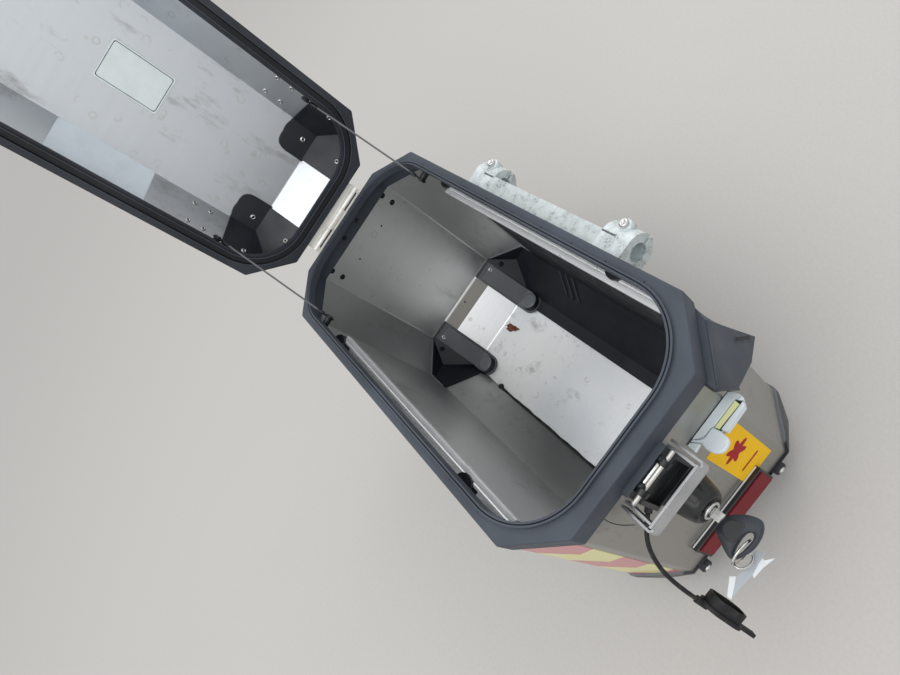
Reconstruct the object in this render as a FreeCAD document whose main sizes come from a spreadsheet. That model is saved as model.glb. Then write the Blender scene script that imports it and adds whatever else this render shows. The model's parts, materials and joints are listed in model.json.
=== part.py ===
import FreeCAD, Part
import math
import os
import Sketcher

# Aluminium side case for a motorcycle, left-hand side, lid open.
# Millimetres. The row's origin is the axis of the rack tube, midway between the two clamps.
# +X points to the rear of the vehicle, +Y towards the vehicle, +Z up.
# The case itself is drawn about its own middle, with z = 0 at the collar's top face.

Vector = FreeCAD.Vector
Rotation = FreeCAD.Rotation
Placement = FreeCAD.Placement

doc = FreeCAD.newDocument("SideCase")
sheet = doc.addObject("Spreadsheet::Sheet", "Sizes")

SIZES = [
    ("case_length", 480.0, "collar, front to rear"),
    ("case_width", 228.0, "collar, outer side to vehicle side"),
    ("case_depth", 284.0, "collar's top face to the floor's underside"),
    ("corner_cut", 44.0, "45 degree corner of the octagonal plan"),
    ("wall_inset", 2.0, "collar's overhang past the sheet walls"),
    ("sheet_thick", 1.5, "aluminium sheet of the case and lid"),
    ("bend_radius", 4.0, "outside radius of the sheet's bends"),
    ("end_slope", 54.0, "height of the 45 degree slope below the front and rear walls"),
    ("side_slope", 46.0, "height of the 45 degree slope below the side walls"),
    ("collar_height", 20.0, "side face of the collar"),
    ("collar_skin", 6.0, "thickness of the collar's flange"),
    ("band_depth", 25.0, "collar's inner band below its top face"),
    ("opening_inset", 12.7, "collar's outer edge to the opening"),
    ("opening_rear", 3.8, "what the opening keeps back further at the rear"),
    ("opening_radius", 62.0, "rounded corner of the opening"),
    ("lip_rise", 3.0, "collar's sealing lip above the flange"),
    ("lip_thick", 1.7, "each ridge of the sealing lip"),
    ("lip_groove", 1.0, "groove between the two ridges"),
    ("corner_long", 75.0, "bottom corner moulding, in from the end wall"),
    ("corner_wide", 73.0, "bottom corner moulding, in from the side wall"),
    ("corner_proud", 2.5, "corner moulding outside the sheet"),
    ("corner_inner", 3.0, "corner moulding inside the sheet's outer face"),
    ("foot_radius", 12.5, "rounded foot boss of a corner moulding"),
    ("foot_in", 58.0, "side wall to the middle of the foot boss"),
    ("foot_rise", 12.0, "foot boss above the floor"),
    ("foot_round", 4.0, "rounding of the foot boss"),
    ("back_wide", 63.0, "moulded back panel, in from the wall along the floor"),
    ("back_top", 50.0, "collar's top face to the back panel's upper edge"),
    ("back_thick", 4.0, "moulded back panel"),
    ("floor_lap", 16.0, "height left to the end walls above the floor plate's bent ends"),
    ("slot_width", 6.0, "slanted slots of the back panel"),
    ("slot_rise", 2.0, "slots' upper ends above the panel's slope"),
    ("slot_fall", 23.0, "height of a slanted slot"),
    ("slot_lean", 19.0, "how far a slot slants to the rear"),
    ("slot_pitch", 12.0, "slot to slot"),
    ("slot_in", 46.0, "panel's front edge to the first slot"),
    ("slot_deep", 2.5, "depth of the slots"),
    ("rail_high", 5.0, "tie rail's height"),
    ("rail_wide", 8.5, "tie rail's width"),
    ("rail_drop", 24.0, "collar's top face to the tie rail's upper face"),
    ("rail_front", 107.0, "front wall to the tie rail"),
    ("rail_rear", 56.0, "rear wall to the tie rail"),
    ("rail_gap", 6.0, "tie rail to the wall"),
    ("rail_groove", 0.8, "half the groove along the tie rail, and its depth"),
    ("groove_in", 3.0, "tie rail's edge to its groove"),
    ("clip_radius", 11.0, "half-round clip of a tie rail"),
    ("clip_over", 2.5, "clip above and below the tie rail"),
    ("clip_past", 5.0, "front clip's middle past the tie rail's end"),
    ("clip_back", 61.0, "tie rail's rear end to the rear clip's middle"),
    ("lid_depth", 62.0, "lid's rim to its outer face"),
    ("lid_slope", 41.0, "slopes of the lid"),
    ("lid_gap", 1.0, "lid's rim above the collar's flange, lid closed"),
    ("frame_height", 9.0, "black frame inside the lid's rim"),
    ("frame_step", 5.0, "seal's groove above the lid frame's rim"),
    ("frame_land", 7.3, "collar's edge to the step of the lid frame"),
    ("lid_inset", 18.5, "collar's edge to the lid frame's opening"),
    ("seal_width", 6.0, "rubber seal"),
    ("seal_height", 2.7, "rubber seal, from its groove's floor"),
    ("seal_inset", 8.0, "collar's edge to the seal"),
    ("lid_corner_long", 58.0, "lid corner moulding, in from the end wall"),
    ("lid_corner_wide", 76.5, "lid corner moulding, in from the side wall"),
    ("tab_in", 54.5, "side wall to the screw of a lid corner moulding"),
    ("tab_thick", 3.0, "lid corner moulding inside the sheet"),
    ("hinge_offset", 11.0, "hinge axis in front of the collar"),
    ("hinge_radius", 4.0, "hinge barrel"),
    ("pin_radius", 2.0, "hinge pin"),
    ("pin_play", 0.05, "radial play of the hinge pins"),
    ("hinge_length", 90.0, "hinge, along its axis"),
    ("leaf_thick", 2.0, "hinge leaf"),
    ("leaf_height", 16.0, "hinge leaf on the collar or on the lid"),
    ("knuckle_gap", 0.4, "gap between two knuckles"),
    ("open_angle", 98.4, "lid's opening"),
    ("tube_radius", 9.0, "rack tube, 18 mm"),
    ("clamp_gap", 2.5, "clamp's round to the side wall"),
    ("tube_drop", 40.0, "collar's top face to the rack tube's axis"),
    ("clamp_shift", 4.5, "case's middle to the middle of the two clamps"),
    ("clamp_span", 190.0, "clamp to clamp"),
    ("clamp_length", 32.0, "clamp along the tube"),
    ("clamp_outer", 17.5, "clamp's outside radius"),
    ("clamp_split", 3.0, "slit of a clamp"),
    ("bar_height", 22.0, "cast bar between the clamps"),
    ("bar_gap", 0.5, "cast bar to the rack tube"),
    ("latch_side", -3.5, "middle line to the middle of the latch"),
    ("latch_width", 44.0, "latch base on the rear wall"),
    ("latch_thick", 9.0, "latch base out from the rear wall"),
    ("latch_height", 50.0, "latch base, up and down"),
    ("latch_wall", 4.0, "latch base's walls beside its recess"),
    ("latch_floor", 3.0, "latch base behind its recess"),
    ("ear_in", 7.0, "latch base's side to an ear"),
    ("ear_wide", 5.0, "ear of the latch base"),
    ("latch_drop", 21.5, "collar's top face to the latch bail's pivot"),
    ("pivot_out", 11.5, "rear wall to the latch bail's pivot"),
    ("bail_radius", 1.6, "latch bail's pivot pin"),
    ("bail_thick", 1.8, "latch bail's steel"),
    ("bail_reach", 27.0, "latch bail's pivot to its cross plate"),
    ("bail_plate", 12.0, "latch bail's cross plate, its height"),
    ("bail_arm", 8.0, "height of a latch bail's arm"),
    ("bail_play", 1.0, "latch bail beside the latch base"),
    ("bail_fold", 2.5, "gap between the two leaves of a folded arm"),
    ("bail_bend", 2.4, "bevelled bend at an arm's end"),
    ("bail_angle", 12.0, "latch bail above level, open"),
    ("lock_drop", 97.0, "collar's top face to the lock's axis"),
    ("lock_side", -3.0, "middle line to the lock's axis"),
    ("lock_foot", 19.0, "lock housing's radius on the wall"),
    ("lock_nose", 12.5, "lock housing's radius at its nose"),
    ("lock_reach", 27.0, "lock housing out from the wall"),
    ("barrel_radius", 8.0, "lock barrel"),
    ("barrel_proud", 1.0, "lock barrel past its housing"),
    ("key_width", 32.0, "key's head"),
    ("key_long", 29.0, "key's head along the key"),
    ("key_thick", 6.0, "key's head"),
    ("key_neck", 9.0, "key's steel between barrel and head"),
    ("blade_wide", 8.0, "key's steel"),
    ("blade_thick", 2.4, "key's steel"),
    ("dish_radius", 7.5, "round recess in the key's head"),
    ("dish_deep", 1.2, "round recess in the key's head"),
    ("hole_radius", 3.6, "ring's hole in the key's head"),
    ("hole_in", 6.0, "end of the key's head to the ring's hole"),
    ("hole_shift", 0.6, "ring's hole off the key's middle line"),
    ("lock_flange", 3.0, "lock's foot plate, its thickness and its overhang"),
    ("flange_high", 16.0, "lock's foot plate, up and down"),
    ("barrel_deep", 4.0, "rear wall to the bottom of the barrel's bore"),
    ("ring_radius", 11.7, "key ring"),
    ("ring_wire", 1.0, "key ring's wire radius"),
    ("ring_hang", 6.0, "key's plane to the ring's middle"),
    ("tag_width", 13.0, "key tag, each of its two folded leaves"),
    ("tag_long", 28.0, "key tag"),
    ("tag_thick", 0.8, "key tag"),
    ("tag_hole", 2.5, "ring's hole in the tag"),
    ("tag_lap", 7.0, "tag's edge past the far side of the ring"),
    ("tag_drop", 11.0, "key's plane to the tag"),
    ("lever_drop", 58.0, "collar's top face to the release lever's upper edge"),
    ("lever_height", 17.0, "release lever"),
    ("lever_thick", 14.0, "release lever out from the wall"),
    ("lever_length", 50.0, "release lever"),
    ("lever_start", 25.0, "middle line to the release lever's near end"),
    ("lever_bevel", 3.0, "bevelled edges of the release lever"),
    ("thumb_in", 5.0, "lever's near end to the thumb tab's edge"),
    ("thumb_out", 2.0, "thumb tab's middle past the lever's face"),
    ("thumb_radius", 11.0, "thumb tab"),
    ("thumb_thick", 4.0, "thumb tab"),
    ("cover_drop", 21.5, "collar's top face to the corner cover's upper edge"),
    ("cover_height", 78.5, "corner cover"),
    ("cover_thick", 7.0, "corner cover out from the facet, at its upper edge"),
    ("cover_flare", 14.0, "how much further out its lower edge stands"),
    ("cover_nose", 14.0, "sloped far end of the upper edge"),
    ("cover_tip", 28.0, "slanted lower corner of the cover, along the facet"),
    ("cover_step", 16.0, "slanted lower corner of the cover, its height"),
    ("cover_near", 33.5, "height of the cover's near end"),
    ("cover_shift", 4.0, "facet's near edge to the cover's lower near corner"),
    ("reflector_side", -2.0, "middle line to the middle of the reflector"),
    ("reflector_rise", 1.0, "rear wall's lower bend to the reflector holder"),
    ("reflector_height", 39.0, "reflector holder"),
    ("reflector_length", 92.0, "reflector holder"),
    ("reflector_thick", 5.0, "reflector holder out from the wall"),
    ("holder_rim", 2.0, "reflector holder beside and behind the lens"),
    ("lens_proud", 1.0, "lens past its holder"),
    ("lens_drop", 16.0, "reflector holder's upper edge to the lens"),
    ("lens_height", 20.0, "reflector's lens"),
    ("stud_radius", 4.0, "lanyard's stud"),
    ("stud_reach", 2.0, "stud past the lanyard, towards the middle"),
    ("lanyard_radius", 1.1, "lanyard"),
    ("lanyard_in", 18.5, "side wall to the lanyard"),
    ("case_stud_in", 76.0, "front wall to the stud in the case"),
    ("case_stud_drop", 11.0, "collar's top face down to the stud in the case"),
    ("lid_stud_in", 88.0, "front wall to the stud in the lid, lid closed"),
    ("lid_stud_rise", 16.0, "collar's top face up to the stud in the lid, lid closed"),
    ("tether_radius", 1.75, "cap tether"),
    ("gland_radius", 3.0, "moulded end of the cap tether"),
    ("gland_length", 6.0, "moulded end of the cap tether"),
    ("cap_long", 34.0, "keyhole cap"),
    ("cap_wide", 24.0, "keyhole cap"),
    ("cap_flange", 3.0, "keyhole cap's flange"),
    ("cap_cup", 8.0, "keyhole cap's cup above its flange"),
    ("cap_wall", 2.0, "keyhole cap's walls"),
    ("cap_tab", 13.0, "keyhole cap's pull tab"),
]
for line, (name, value, note) in enumerate(SIZES, 1):
    sheet.set("A%d" % line, name)
    sheet.set("B%d" % line, str(value))
    sheet.set("C%d" % line, note)
    sheet.setAlias("B%d" % line, name)
doc.recompute()


def size(name):
    """A driving dimension, read back from the sheet."""
    return float(sheet.get(name))


def cell(text):
    """An expression over the sheet: every word in it is an alias."""
    words = []
    for word in text.replace("(", " ( ").replace(")", " ) ").split():
        words.append("Sizes." + word if word[0].isalpha() else word)
    return " ".join(words)


# Where the case, the closed lid and the open lid stand in the row's frame

REAR = size("case_length") / 2 - size("wall_inset")
SIDE = size("case_width") / 2 - size("wall_inset")
TUBE = SIDE + size("clamp_gap") + size("clamp_outer")
CASE = Placement(Vector(-size("clamp_shift"), -TUBE, size("tube_drop")), Rotation())
HINGE_X = -size("case_length") / 2 - size("hinge_offset")
HINGE_LINE = Vector(HINGE_X, 0, 0)
SWING = Placement(Vector(0, 0, 0), Rotation(Vector(0, 1, 0), -size("open_angle")), HINGE_LINE)
OPEN_LID = CASE.multiply(SWING)
FLIP = Placement(Vector(0, 0, size("lid_gap")), Rotation(Vector(1, 0, 0), 180))
OPEN_PAN = OPEN_LID.multiply(FLIP)

PLANES = {"XY": "XY_Plane", "XZ": "XZ_Plane", "YZ": "YZ_Plane"}
FIRST_RING = 100.0
pieces = []


def sketch_on(body, plane, offset):
    """A sketch on one of the body's own planes, moved along its normal."""
    sketch = body.newObject("Sketcher::SketchObject", body.Name + "Outline")
    role = PLANES[plane]
    support = [item for item in body.Origin.OriginFeatures if item.Role == role][0]
    sketch.AttachmentSupport = (support, [""])
    sketch.MapMode = "FlatFace"
    sketch.setExpression("AttachmentOffset.Base.z", cell(offset))
    return sketch


def add_polygon(sketch, points):
    """A closed outline whose corners are bound to the sheet."""
    first = sketch.GeometryCount
    count = len(points)
    ring = []
    for index in range(count):
        turn = 2 * math.pi * index / count
        ring.append(Vector(FIRST_RING * math.cos(turn), FIRST_RING * math.sin(turn), 0))
    for index in range(count):
        sketch.addGeometry(Part.LineSegment(ring[index], ring[(index + 1) % count]))
    for index in range(count):
        following = first + (index + 1) % count
        sketch.addConstraint(Sketcher.Constraint("Coincident", first + index, 2, following, 1))
    for index, (along, up) in enumerate(points):
        for kind, text in (("DistanceX", along), ("DistanceY", up)):
            bound = Sketcher.Constraint(kind, -1, 1, first + index, 1, 1.0)
            number = sketch.addConstraint(bound)
            sketch.setExpression("Constraints[%d]" % number, cell(text))


def add_circle(sketch, along, up, radius):
    """A circle whose centre and radius are bound to the sheet."""
    index = sketch.addGeometry(Part.Circle(Vector(0, 0, 0), Vector(0, 0, 1), 1.0))
    for kind, text in (("DistanceX", along), ("DistanceY", up)):
        number = sketch.addConstraint(Sketcher.Constraint(kind, -1, 1, index, 3, 1.0))
        sketch.setExpression("Constraints[%d]" % number, cell(text))
    number = sketch.addConstraint(Sketcher.Constraint("Radius", index, 1.0))
    sketch.setExpression("Constraints[%d]" % number, cell(radius))


def prism(name, plane, points, start, length):
    """A body padded from an outline, from start along the plane's normal."""
    body = doc.addObject("PartDesign::Body", name)
    sketch = sketch_on(body, plane, start)
    add_polygon(sketch, points)
    pad = body.newObject("PartDesign::Pad", name + "Pad")
    pad.Profile = sketch
    pad.setExpression("Length", cell(length))
    sketch.Visibility = False
    doc.recompute()
    return body


def disc(name, plane, along, up, radius, start, length):
    """A cylinder padded from a circle."""
    body = doc.addObject("PartDesign::Body", name)
    sketch = sketch_on(body, plane, start)
    add_circle(sketch, along, up, radius)
    pad = body.newObject("PartDesign::Pad", name + "Pad")
    pad.Profile = sketch
    pad.setExpression("Length", cell(length))
    sketch.Visibility = False
    doc.recompute()
    return body


def turned(name, points):
    """A body turned about its own Z axis from a half section."""
    body = doc.addObject("PartDesign::Body", name)
    sketch = sketch_on(body, "XZ", "0")
    add_polygon(sketch, points)
    turning = body.newObject("PartDesign::Revolution", name + "Turned")
    turning.Profile = sketch
    turning.ReferenceAxis = (sketch, ["V_Axis"])
    turning.Angle = 360
    sketch.Visibility = False
    doc.recompute()
    return body


def lofted(name, low, low_height, high, high_height):
    """A body between two outlines at two heights, joined by straight lines."""
    body = doc.addObject("PartDesign::Body", name)
    sketches = []
    for points, height in ((low, low_height), (high, high_height)):
        sketch = sketch_on(body, "XY", height)
        add_polygon(sketch, points)
        sketch.Visibility = False
        sketches.append(sketch)
    doc.recompute()
    loft = body.newObject("PartDesign::AdditiveLoft", name + "Loft")
    loft.Profile = sketches[0]
    loft.Sections = [sketches[1]]
    loft.Ruled = True
    doc.recompute()
    return body


def edges_along(shape, axis):
    """The names of the straight edges that run along an axis."""
    names = []
    for index, edge in enumerate(shape.Edges, 1):
        if edge.Curve.TypeId != "Part::GeomLine":
            continue
        if abs(edge.Curve.Direction.dot(axis)) > 0.999:
            names.append("Edge%d" % index)
    return names


def round_edges(body, axis, radius):
    """Round every straight edge of a body that runs along an axis."""
    base = body.Tip
    fillet = body.newObject("PartDesign::Fillet", body.Name + "Round")
    fillet.Base = (base, edges_along(base.Shape, axis))
    fillet.setExpression("Radius", cell(radius))
    doc.recompute()
    return body


def round_face(body, axis, radius):
    """Round the outline of the flat face that lies furthest along an axis."""
    base = body.Tip
    faces = base.Shape.Faces
    furthest = max(range(len(faces)), key=lambda index: faces[index].CenterOfMass.dot(axis))
    names = []
    for index, edge in enumerate(base.Shape.Edges, 1):
        if any(edge.isSame(other) for other in faces[furthest].Edges):
            names.append("Edge%d" % index)
    fillet = body.newObject("PartDesign::Fillet", body.Name + "Edge")
    fillet.Base = (base, names)
    fillet.setExpression("Radius", cell(radius))
    doc.recompute()
    return body


def box(name, low, high):
    """A box between two corners, each a triple of expressions."""
    solid = doc.addObject("Part::Box", name)
    for key, bottom, top in zip(("Length", "Width", "Height"), low, high):
        solid.setExpression(key, cell("( %s ) - ( %s )" % (top, bottom)))
    for key, bottom in zip("xyz", low):
        solid.setExpression("Placement.Base." + key, cell(bottom))
    doc.recompute()
    return solid


def cut(name, base, tool):
    result = doc.addObject("Part::Cut", name)
    result.Base = base
    result.Tool = tool
    doc.recompute()
    return result


def common(name, *shapes):
    result = doc.addObject("Part::MultiCommon", name)
    result.Shapes = list(shapes)
    doc.recompute()
    return result


def fuse(name, *shapes):
    result = doc.addObject("Part::MultiFuse", name)
    result.Shapes = list(shapes)
    result.Refine = True
    doc.recompute()
    return result


def mirror(name, source, normal):
    result = doc.addObject("Part::Mirroring", name)
    result.Source = source
    result.Normal = normal
    doc.recompute()
    return result


def publish(label, item, place):
    """Name a finished piece and stand it in the row's frame."""
    node = doc.addObject("Part::Compound", "Node")
    node.Links = [item]
    node.Label = label
    node.Placement = place
    pieces.append(node)
    return node


ALONG_X = Vector(1, 0, 0)
ALONG_Y = Vector(0, 1, 0)
ALONG_Z = Vector(0, 0, 1)
ROOT_TWO = "1.41421356"
WALL_X = "( case_length / 2 - wall_inset )"
WALL_Y = "( case_width / 2 - wall_inset )"
INNER_Y = "( case_width / 2 - wall_inset - sheet_thick )"


def octagon(inset):
    """Corners of the octagonal plan, moved in by a distance."""
    far = "( case_length / 2 - ( %s ) )" % inset
    side = "( case_width / 2 - ( %s ) )" % inset
    nip = "( corner_cut - ( 2 - %s ) * ( %s ) )" % (ROOT_TWO, inset)
    points = []
    for sign_x, sign_y, order in ((1, 1, 0), (-1, 1, 1), (-1, -1, 0), (1, -1, 1)):
        flat = ("%d * ( %s - %s )" % (sign_x, far, nip), "%d * %s" % (sign_y, side))
        steep = ("%d * %s" % (sign_x, far), "%d * ( %s - %s )" % (sign_y, side, nip))
        points.extend((flat, steep) if order else (steep, flat))
    return points


def hopper(half, depth, slope, inset):
    """Section of a pan with 45 degree slopes, its mouth at z = 0, moved in by a distance."""
    top = "0"
    wide = "( %s - ( %s ) )" % (half, inset)
    bottom = "( 0 - ( %s ) + ( %s ) )" % (depth, inset)
    knee = "( 0 - ( %s ) + ( %s ) + ( %s - 1 ) * ( %s ) )" % (depth, slope, ROOT_TWO, inset)
    narrow = "( %s - ( %s ) - ( %s - 1 ) * ( %s ) )" % (half, slope, ROOT_TWO, inset)
    return [
        ("0 - " + wide, top),
        ("0 - " + wide, knee),
        ("0 - " + narrow, bottom),
        (narrow, bottom),
        (wide, knee),
        (wide, top),
    ]


def pan(name, depth, end_slope, side_slope, inset, radius):
    """The volume of an octagonal pan with sloped ends and sides, moved in by a distance."""
    edge = "( wall_inset + ( %s ) )" % inset
    long_half = "( case_length / 2 - wall_inset )"
    wide_half = "( case_width / 2 - wall_inset )"
    plan = prism(name + "Plan", "XY", octagon(edge), "0 - ( %s ) - 10" % depth, "( %s ) + 10" % depth)
    round_edges(plan, ALONG_Z, radius)
    side = prism(name + "Side", "XZ", hopper(long_half, depth, end_slope, inset),
                 "0 - case_width / 2 - 10", "case_width + 20")
    round_edges(side, ALONG_Y, radius)
    end = prism(name + "End", "YZ", hopper(wide_half, depth, side_slope, inset),
                "0 - case_length / 2 - 10", "case_length + 20")
    round_edges(end, ALONG_X, radius)
    return common(name, plan, side, end)



# The sheet walls of the case, its floor plate, back panel and bottom corner mouldings

outer = pan("CaseOuter", "case_depth", "end_slope", "side_slope", "0",
            "bend_radius")
inner = pan("CaseInner", "case_depth", "end_slope", "side_slope", "sheet_thick",
            "bend_radius - sheet_thick")
moulded_outer = pan("MouldOuter", "case_depth", "end_slope", "side_slope", "0 - corner_proud",
            "bend_radius + corner_proud")
moulded_inner = pan("MouldInner", "case_depth", "end_slope", "side_slope", "corner_inner",
            "bend_radius - sheet_thick")
panel_inner = pan("PanelInner", "case_depth", "end_slope", "side_slope", "back_thick",
            "bend_radius - sheet_thick")
LOW = "0 - case_depth - 20"
FAR_X = "case_length / 2 + 20"
FAR_Y = "case_width / 2 + 20"
KNEE = "0 - case_depth + end_slope"

CORNER_X = "( case_length / 2 - wall_inset - corner_long )"
CORNER_Y = "( case_width / 2 - wall_inset - corner_wide )"
FOOT_Y = "( case_width / 2 - wall_inset - foot_in )"
BACK_Y = "( case_width / 2 - wall_inset - back_wide )"
corner_box = box("CornerBox", (CORNER_X, CORNER_Y, LOW), (FAR_X, FAR_Y, KNEE))
foot_room = disc("FootRoom", "XY", CORNER_X, FOOT_Y, "corner_wide - foot_in", LOW, "20 + foot_rise")
corner_room = fuse("CornerRoom", corner_box, foot_room)
rooms = [corner_room]
rooms.append(mirror("CornerRoomOuter", corner_room, ALONG_Y))
rooms.append(mirror("CornerRoomFront", corner_room, ALONG_X))
rooms.append(mirror("CornerRoomFrontOuter", rooms[1], ALONG_X))
corner_rooms = fuse("CornerRooms", *rooms)

foot = turned("FootBoss", [
    ("0", "0 - case_depth"),
    ("foot_radius", "0 - case_depth"),
    ("foot_radius", "0 - case_depth + foot_rise - foot_round"),
    ("foot_radius - 0.3 * foot_round", "0 - case_depth + foot_rise - 0.3 * foot_round"),
    ("foot_radius - foot_round", "0 - case_depth + foot_rise"),
    ("0", "0 - case_depth + foot_rise"),
])
foot.setExpression("Placement.Base.x", cell(CORNER_X))
foot.setExpression("Placement.Base.y", cell(FOOT_Y))
rib = prism("FootRib", "XZ", [
    (CORNER_X, "0 - case_depth"),
    (WALL_X + " - end_slope", "0 - case_depth"),
    (WALL_X + " - 2 * corner_inner", "0 - case_depth + end_slope - 2 * corner_inner"),
    (WALL_X + " - 4 * corner_inner", "0 - case_depth + end_slope - 2 * corner_inner"),
    (WALL_X + " - end_slope - 2 * corner_inner", "0 - case_depth + 2 * corner_inner + 2"),
    (CORNER_X, "0 - case_depth + 2 * corner_inner + 2"),
], "0 - %s - foot_radius" % FOOT_Y, "2 * foot_radius")
corner_block = common("CornerBlock", corner_room, moulded_outer)
corner_skin = cut("CornerSkin", corner_block, moulded_inner)
corner_added = common("CornerAdded", fuse("FootParts", foot, rib), corner_block)
corner = fuse("Corner", corner_skin, corner_added)
corner_outer = mirror("CornerOuter", corner, ALONG_Y)
corner_front = mirror("CornerFront", corner, ALONG_X)
corner_front_outer = mirror("CornerFrontOuter", corner_outer, ALONG_X)
publish("corner_rear_inner", corner, CASE)
publish("corner_rear_outer", corner_outer, CASE)
publish("corner_front_inner", corner_front, CASE)
publish("corner_front_outer", corner_front_outer, CASE)
back_low = box("BackLow", ("0 - " + CORNER_X, BACK_Y, LOW), (CORNER_X, FAR_Y, KNEE))
NIP = "( corner_cut - ( 2 - %s ) * wall_inset )" % ROOT_TWO
FLAT_HALF = "( case_length / 2 - wall_inset - %s )" % NIP
back_high = box("BackHigh", ("0 - " + CORNER_X, BACK_Y, KNEE),
                (FLAT_HALF, FAR_Y, "0 - back_top"))
back_room = cut("BackRoom", fuse("BackBoth", back_low, back_high), corner_rooms)
back_block = cut("BackSkin", common("BackBlock", back_room, outer), panel_inner)
slot_floor = pan("SlotFloor", "case_depth", "end_slope", "side_slope", "back_thick - slot_deep",
                 "bend_radius - sheet_thick")
SLOT_TOP = "0 - case_depth + side_slope + slot_rise"
slots = []
for number in range(3):
    left = "0 - %s + slot_in + %d * slot_pitch" % (CORNER_X, number)
    slot = prism("Slot%d" % number, "XZ", [
        (left, SLOT_TOP),
        (left + " + slot_lean", SLOT_TOP + " - slot_fall"),
        (left + " + slot_lean + slot_width", SLOT_TOP + " - slot_fall"),
        (left + " + slot_width", SLOT_TOP),
    ], "0 - case_width / 2", "case_width / 2 - " + BACK_Y)
    slots.append(slot)
slot_rooms = common("SlotRooms", fuse("Slots", *slots), slot_floor)
back_panel = cut("BackPanel", back_block, slot_rooms)
publish("back_panel", back_panel, CASE)

floor_box = box("FloorBox", ("0 - case_length", "0 - %s + side_slope" % WALL_Y, LOW),
                ("case_length", BACK_Y, KNEE + " - floor_lap"))
sheet_skin = cut("SheetSkin", outer, inner)
floor_skin = common("FloorSkin", sheet_skin, floor_box)
floor_plate = cut("FloorPlate", floor_skin, corner_rooms)
publish("floor_plate", floor_plate, CASE)

mouth_box = box("MouthBox", ("0 - case_length", "0 - case_width", "0 - collar_skin"),
                ("case_length", "case_width", "20"))
taken = fuse("Taken", corner_rooms, back_room, floor_box, mouth_box)
case_shell = cut("CaseShell", sheet_skin, taken)
publish("case_shell", case_shell, CASE)

# The collar: a moulded frame over the sheet's upper edge, with an inner band and a double lip


def rounded(name, inset, start, length):
    """A block with the outline of the opening, moved in from the collar's edge."""
    front = "( 0 - case_length / 2 + ( %s ) )" % inset
    rear = "( case_length / 2 - opening_rear - ( %s ) )" % inset
    half_y = "( case_width / 2 - ( %s ) )" % inset
    block = prism(name, "XY", [
        (rear, half_y),
        (front, half_y),
        (front, "0 - " + half_y),
        (rear, "0 - " + half_y),
    ], start, length)
    return round_edges(block, ALONG_Z, "opening_radius + opening_inset - ( %s )" % inset)


def octagon_block(name, inset, start, length):
    """A block with the octagonal plan, moved in from the collar's edge."""
    return prism(name, "XY", octagon(inset), start, length)


INSIDE = "wall_inset + sheet_thick"
SKIN_LOW = "0 - collar_skin"
collar_plate = round_edges(
    octagon_block("CollarPlate", "0", "0 - collar_height", "collar_height"), ALONG_Z, "bend_radius")
round_face(collar_plate, ALONG_Z, "lip_thick")
wall_room = octagon_block("WallRoom", "wall_inset", "0 - 2 * band_depth", "2 * band_depth - collar_skin")
skirt = cut("CollarSkirt", collar_plate, wall_room)
band_out = round_edges(octagon_block("BandOut", INSIDE, "0 - band_depth", "band_depth - lip_thick"),
                       ALONG_Z, "bend_radius - sheet_thick")
band_in = octagon_block("BandIn", INSIDE + " + lip_thick", "0 - 2 * band_depth",
                        "2 * band_depth - collar_skin")
band = cut("CollarBand", band_out, band_in)
opening_block = rounded("Opening", "opening_inset", "0 - 2 * band_depth", "3 * band_depth")
frame_body = cut("CollarFrame", fuse("CollarSolid", skirt, band), opening_block)
ridges = []
for number, inset in (("One", "opening_inset - lip_thick"),
                      ("Two", "opening_inset - 2 * lip_thick - lip_groove")):
    ridge = rounded("Ridge" + number, inset, "0 - lip_thick", "lip_thick + lip_rise")
    gap = rounded("RidgeGap" + number, inset + " + lip_thick", "0 - 2 * lip_thick",
                  "4 * lip_thick + lip_rise")
    ridges.append(cut("RidgeRing" + number, ridge, gap))
collar = fuse("Collar", frame_body, *ridges)
publish("collar", collar, CASE)

# Tie rails inside the long walls, held by two clips each

RAIL_START = "( 0 - %s + rail_front )" % WALL_X
RAIL_END = "( %s - rail_rear )" % WALL_X
RAIL_FAR = "( %s - rail_gap )" % INNER_Y
GROOVE_Y = "( %s - rail_gap - groove_in )" % INNER_Y
rail = prism("Rail", "YZ", [
    (RAIL_FAR, "0 - rail_drop - rail_high"),
    (RAIL_FAR, "0 - rail_drop"),
    (GROOVE_Y + " + rail_groove", "0 - rail_drop"),
    (GROOVE_Y, "0 - rail_drop - rail_groove"),
    (GROOVE_Y + " - rail_groove", "0 - rail_drop"),
    (RAIL_FAR + " - rail_wide", "0 - rail_drop"),
    (RAIL_FAR + " - rail_wide", "0 - rail_drop - rail_high"),
], RAIL_START, "%s - %s" % (RAIL_END, RAIL_START))
clip_room = box("ClipRoom", ("0 - case_length / 2", "0", "0 - case_depth"),
                ("case_length / 2", INNER_Y, "0"))
clip_away = fuse("ClipAway", rail, band)
publish("tie_rail_inner", rail, CASE)
publish("tie_rail_outer", mirror("RailOuter", rail, ALONG_Y), CASE)
for place, middle in (("front", RAIL_START + " - clip_past"), ("rear", RAIL_END + " - clip_back")):
    clip_disc = disc("ClipDisc_" + place, "XY", middle, INNER_Y, "clip_radius",
                     "0 - rail_drop - rail_high - clip_over", "rail_high + 2 * clip_over")
    clip = cut("Clip_" + place, common("ClipHalf_" + place, clip_disc, clip_room), clip_away)
    publish("rail_clip_inner_" + place, clip, CASE)
    publish("rail_clip_outer_" + place, mirror("ClipOuter_" + place, clip, ALONG_Y), CASE)

# Lid: sheet pan, four corner mouldings, black frame and rubber seal, drawn mouth up

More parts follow.
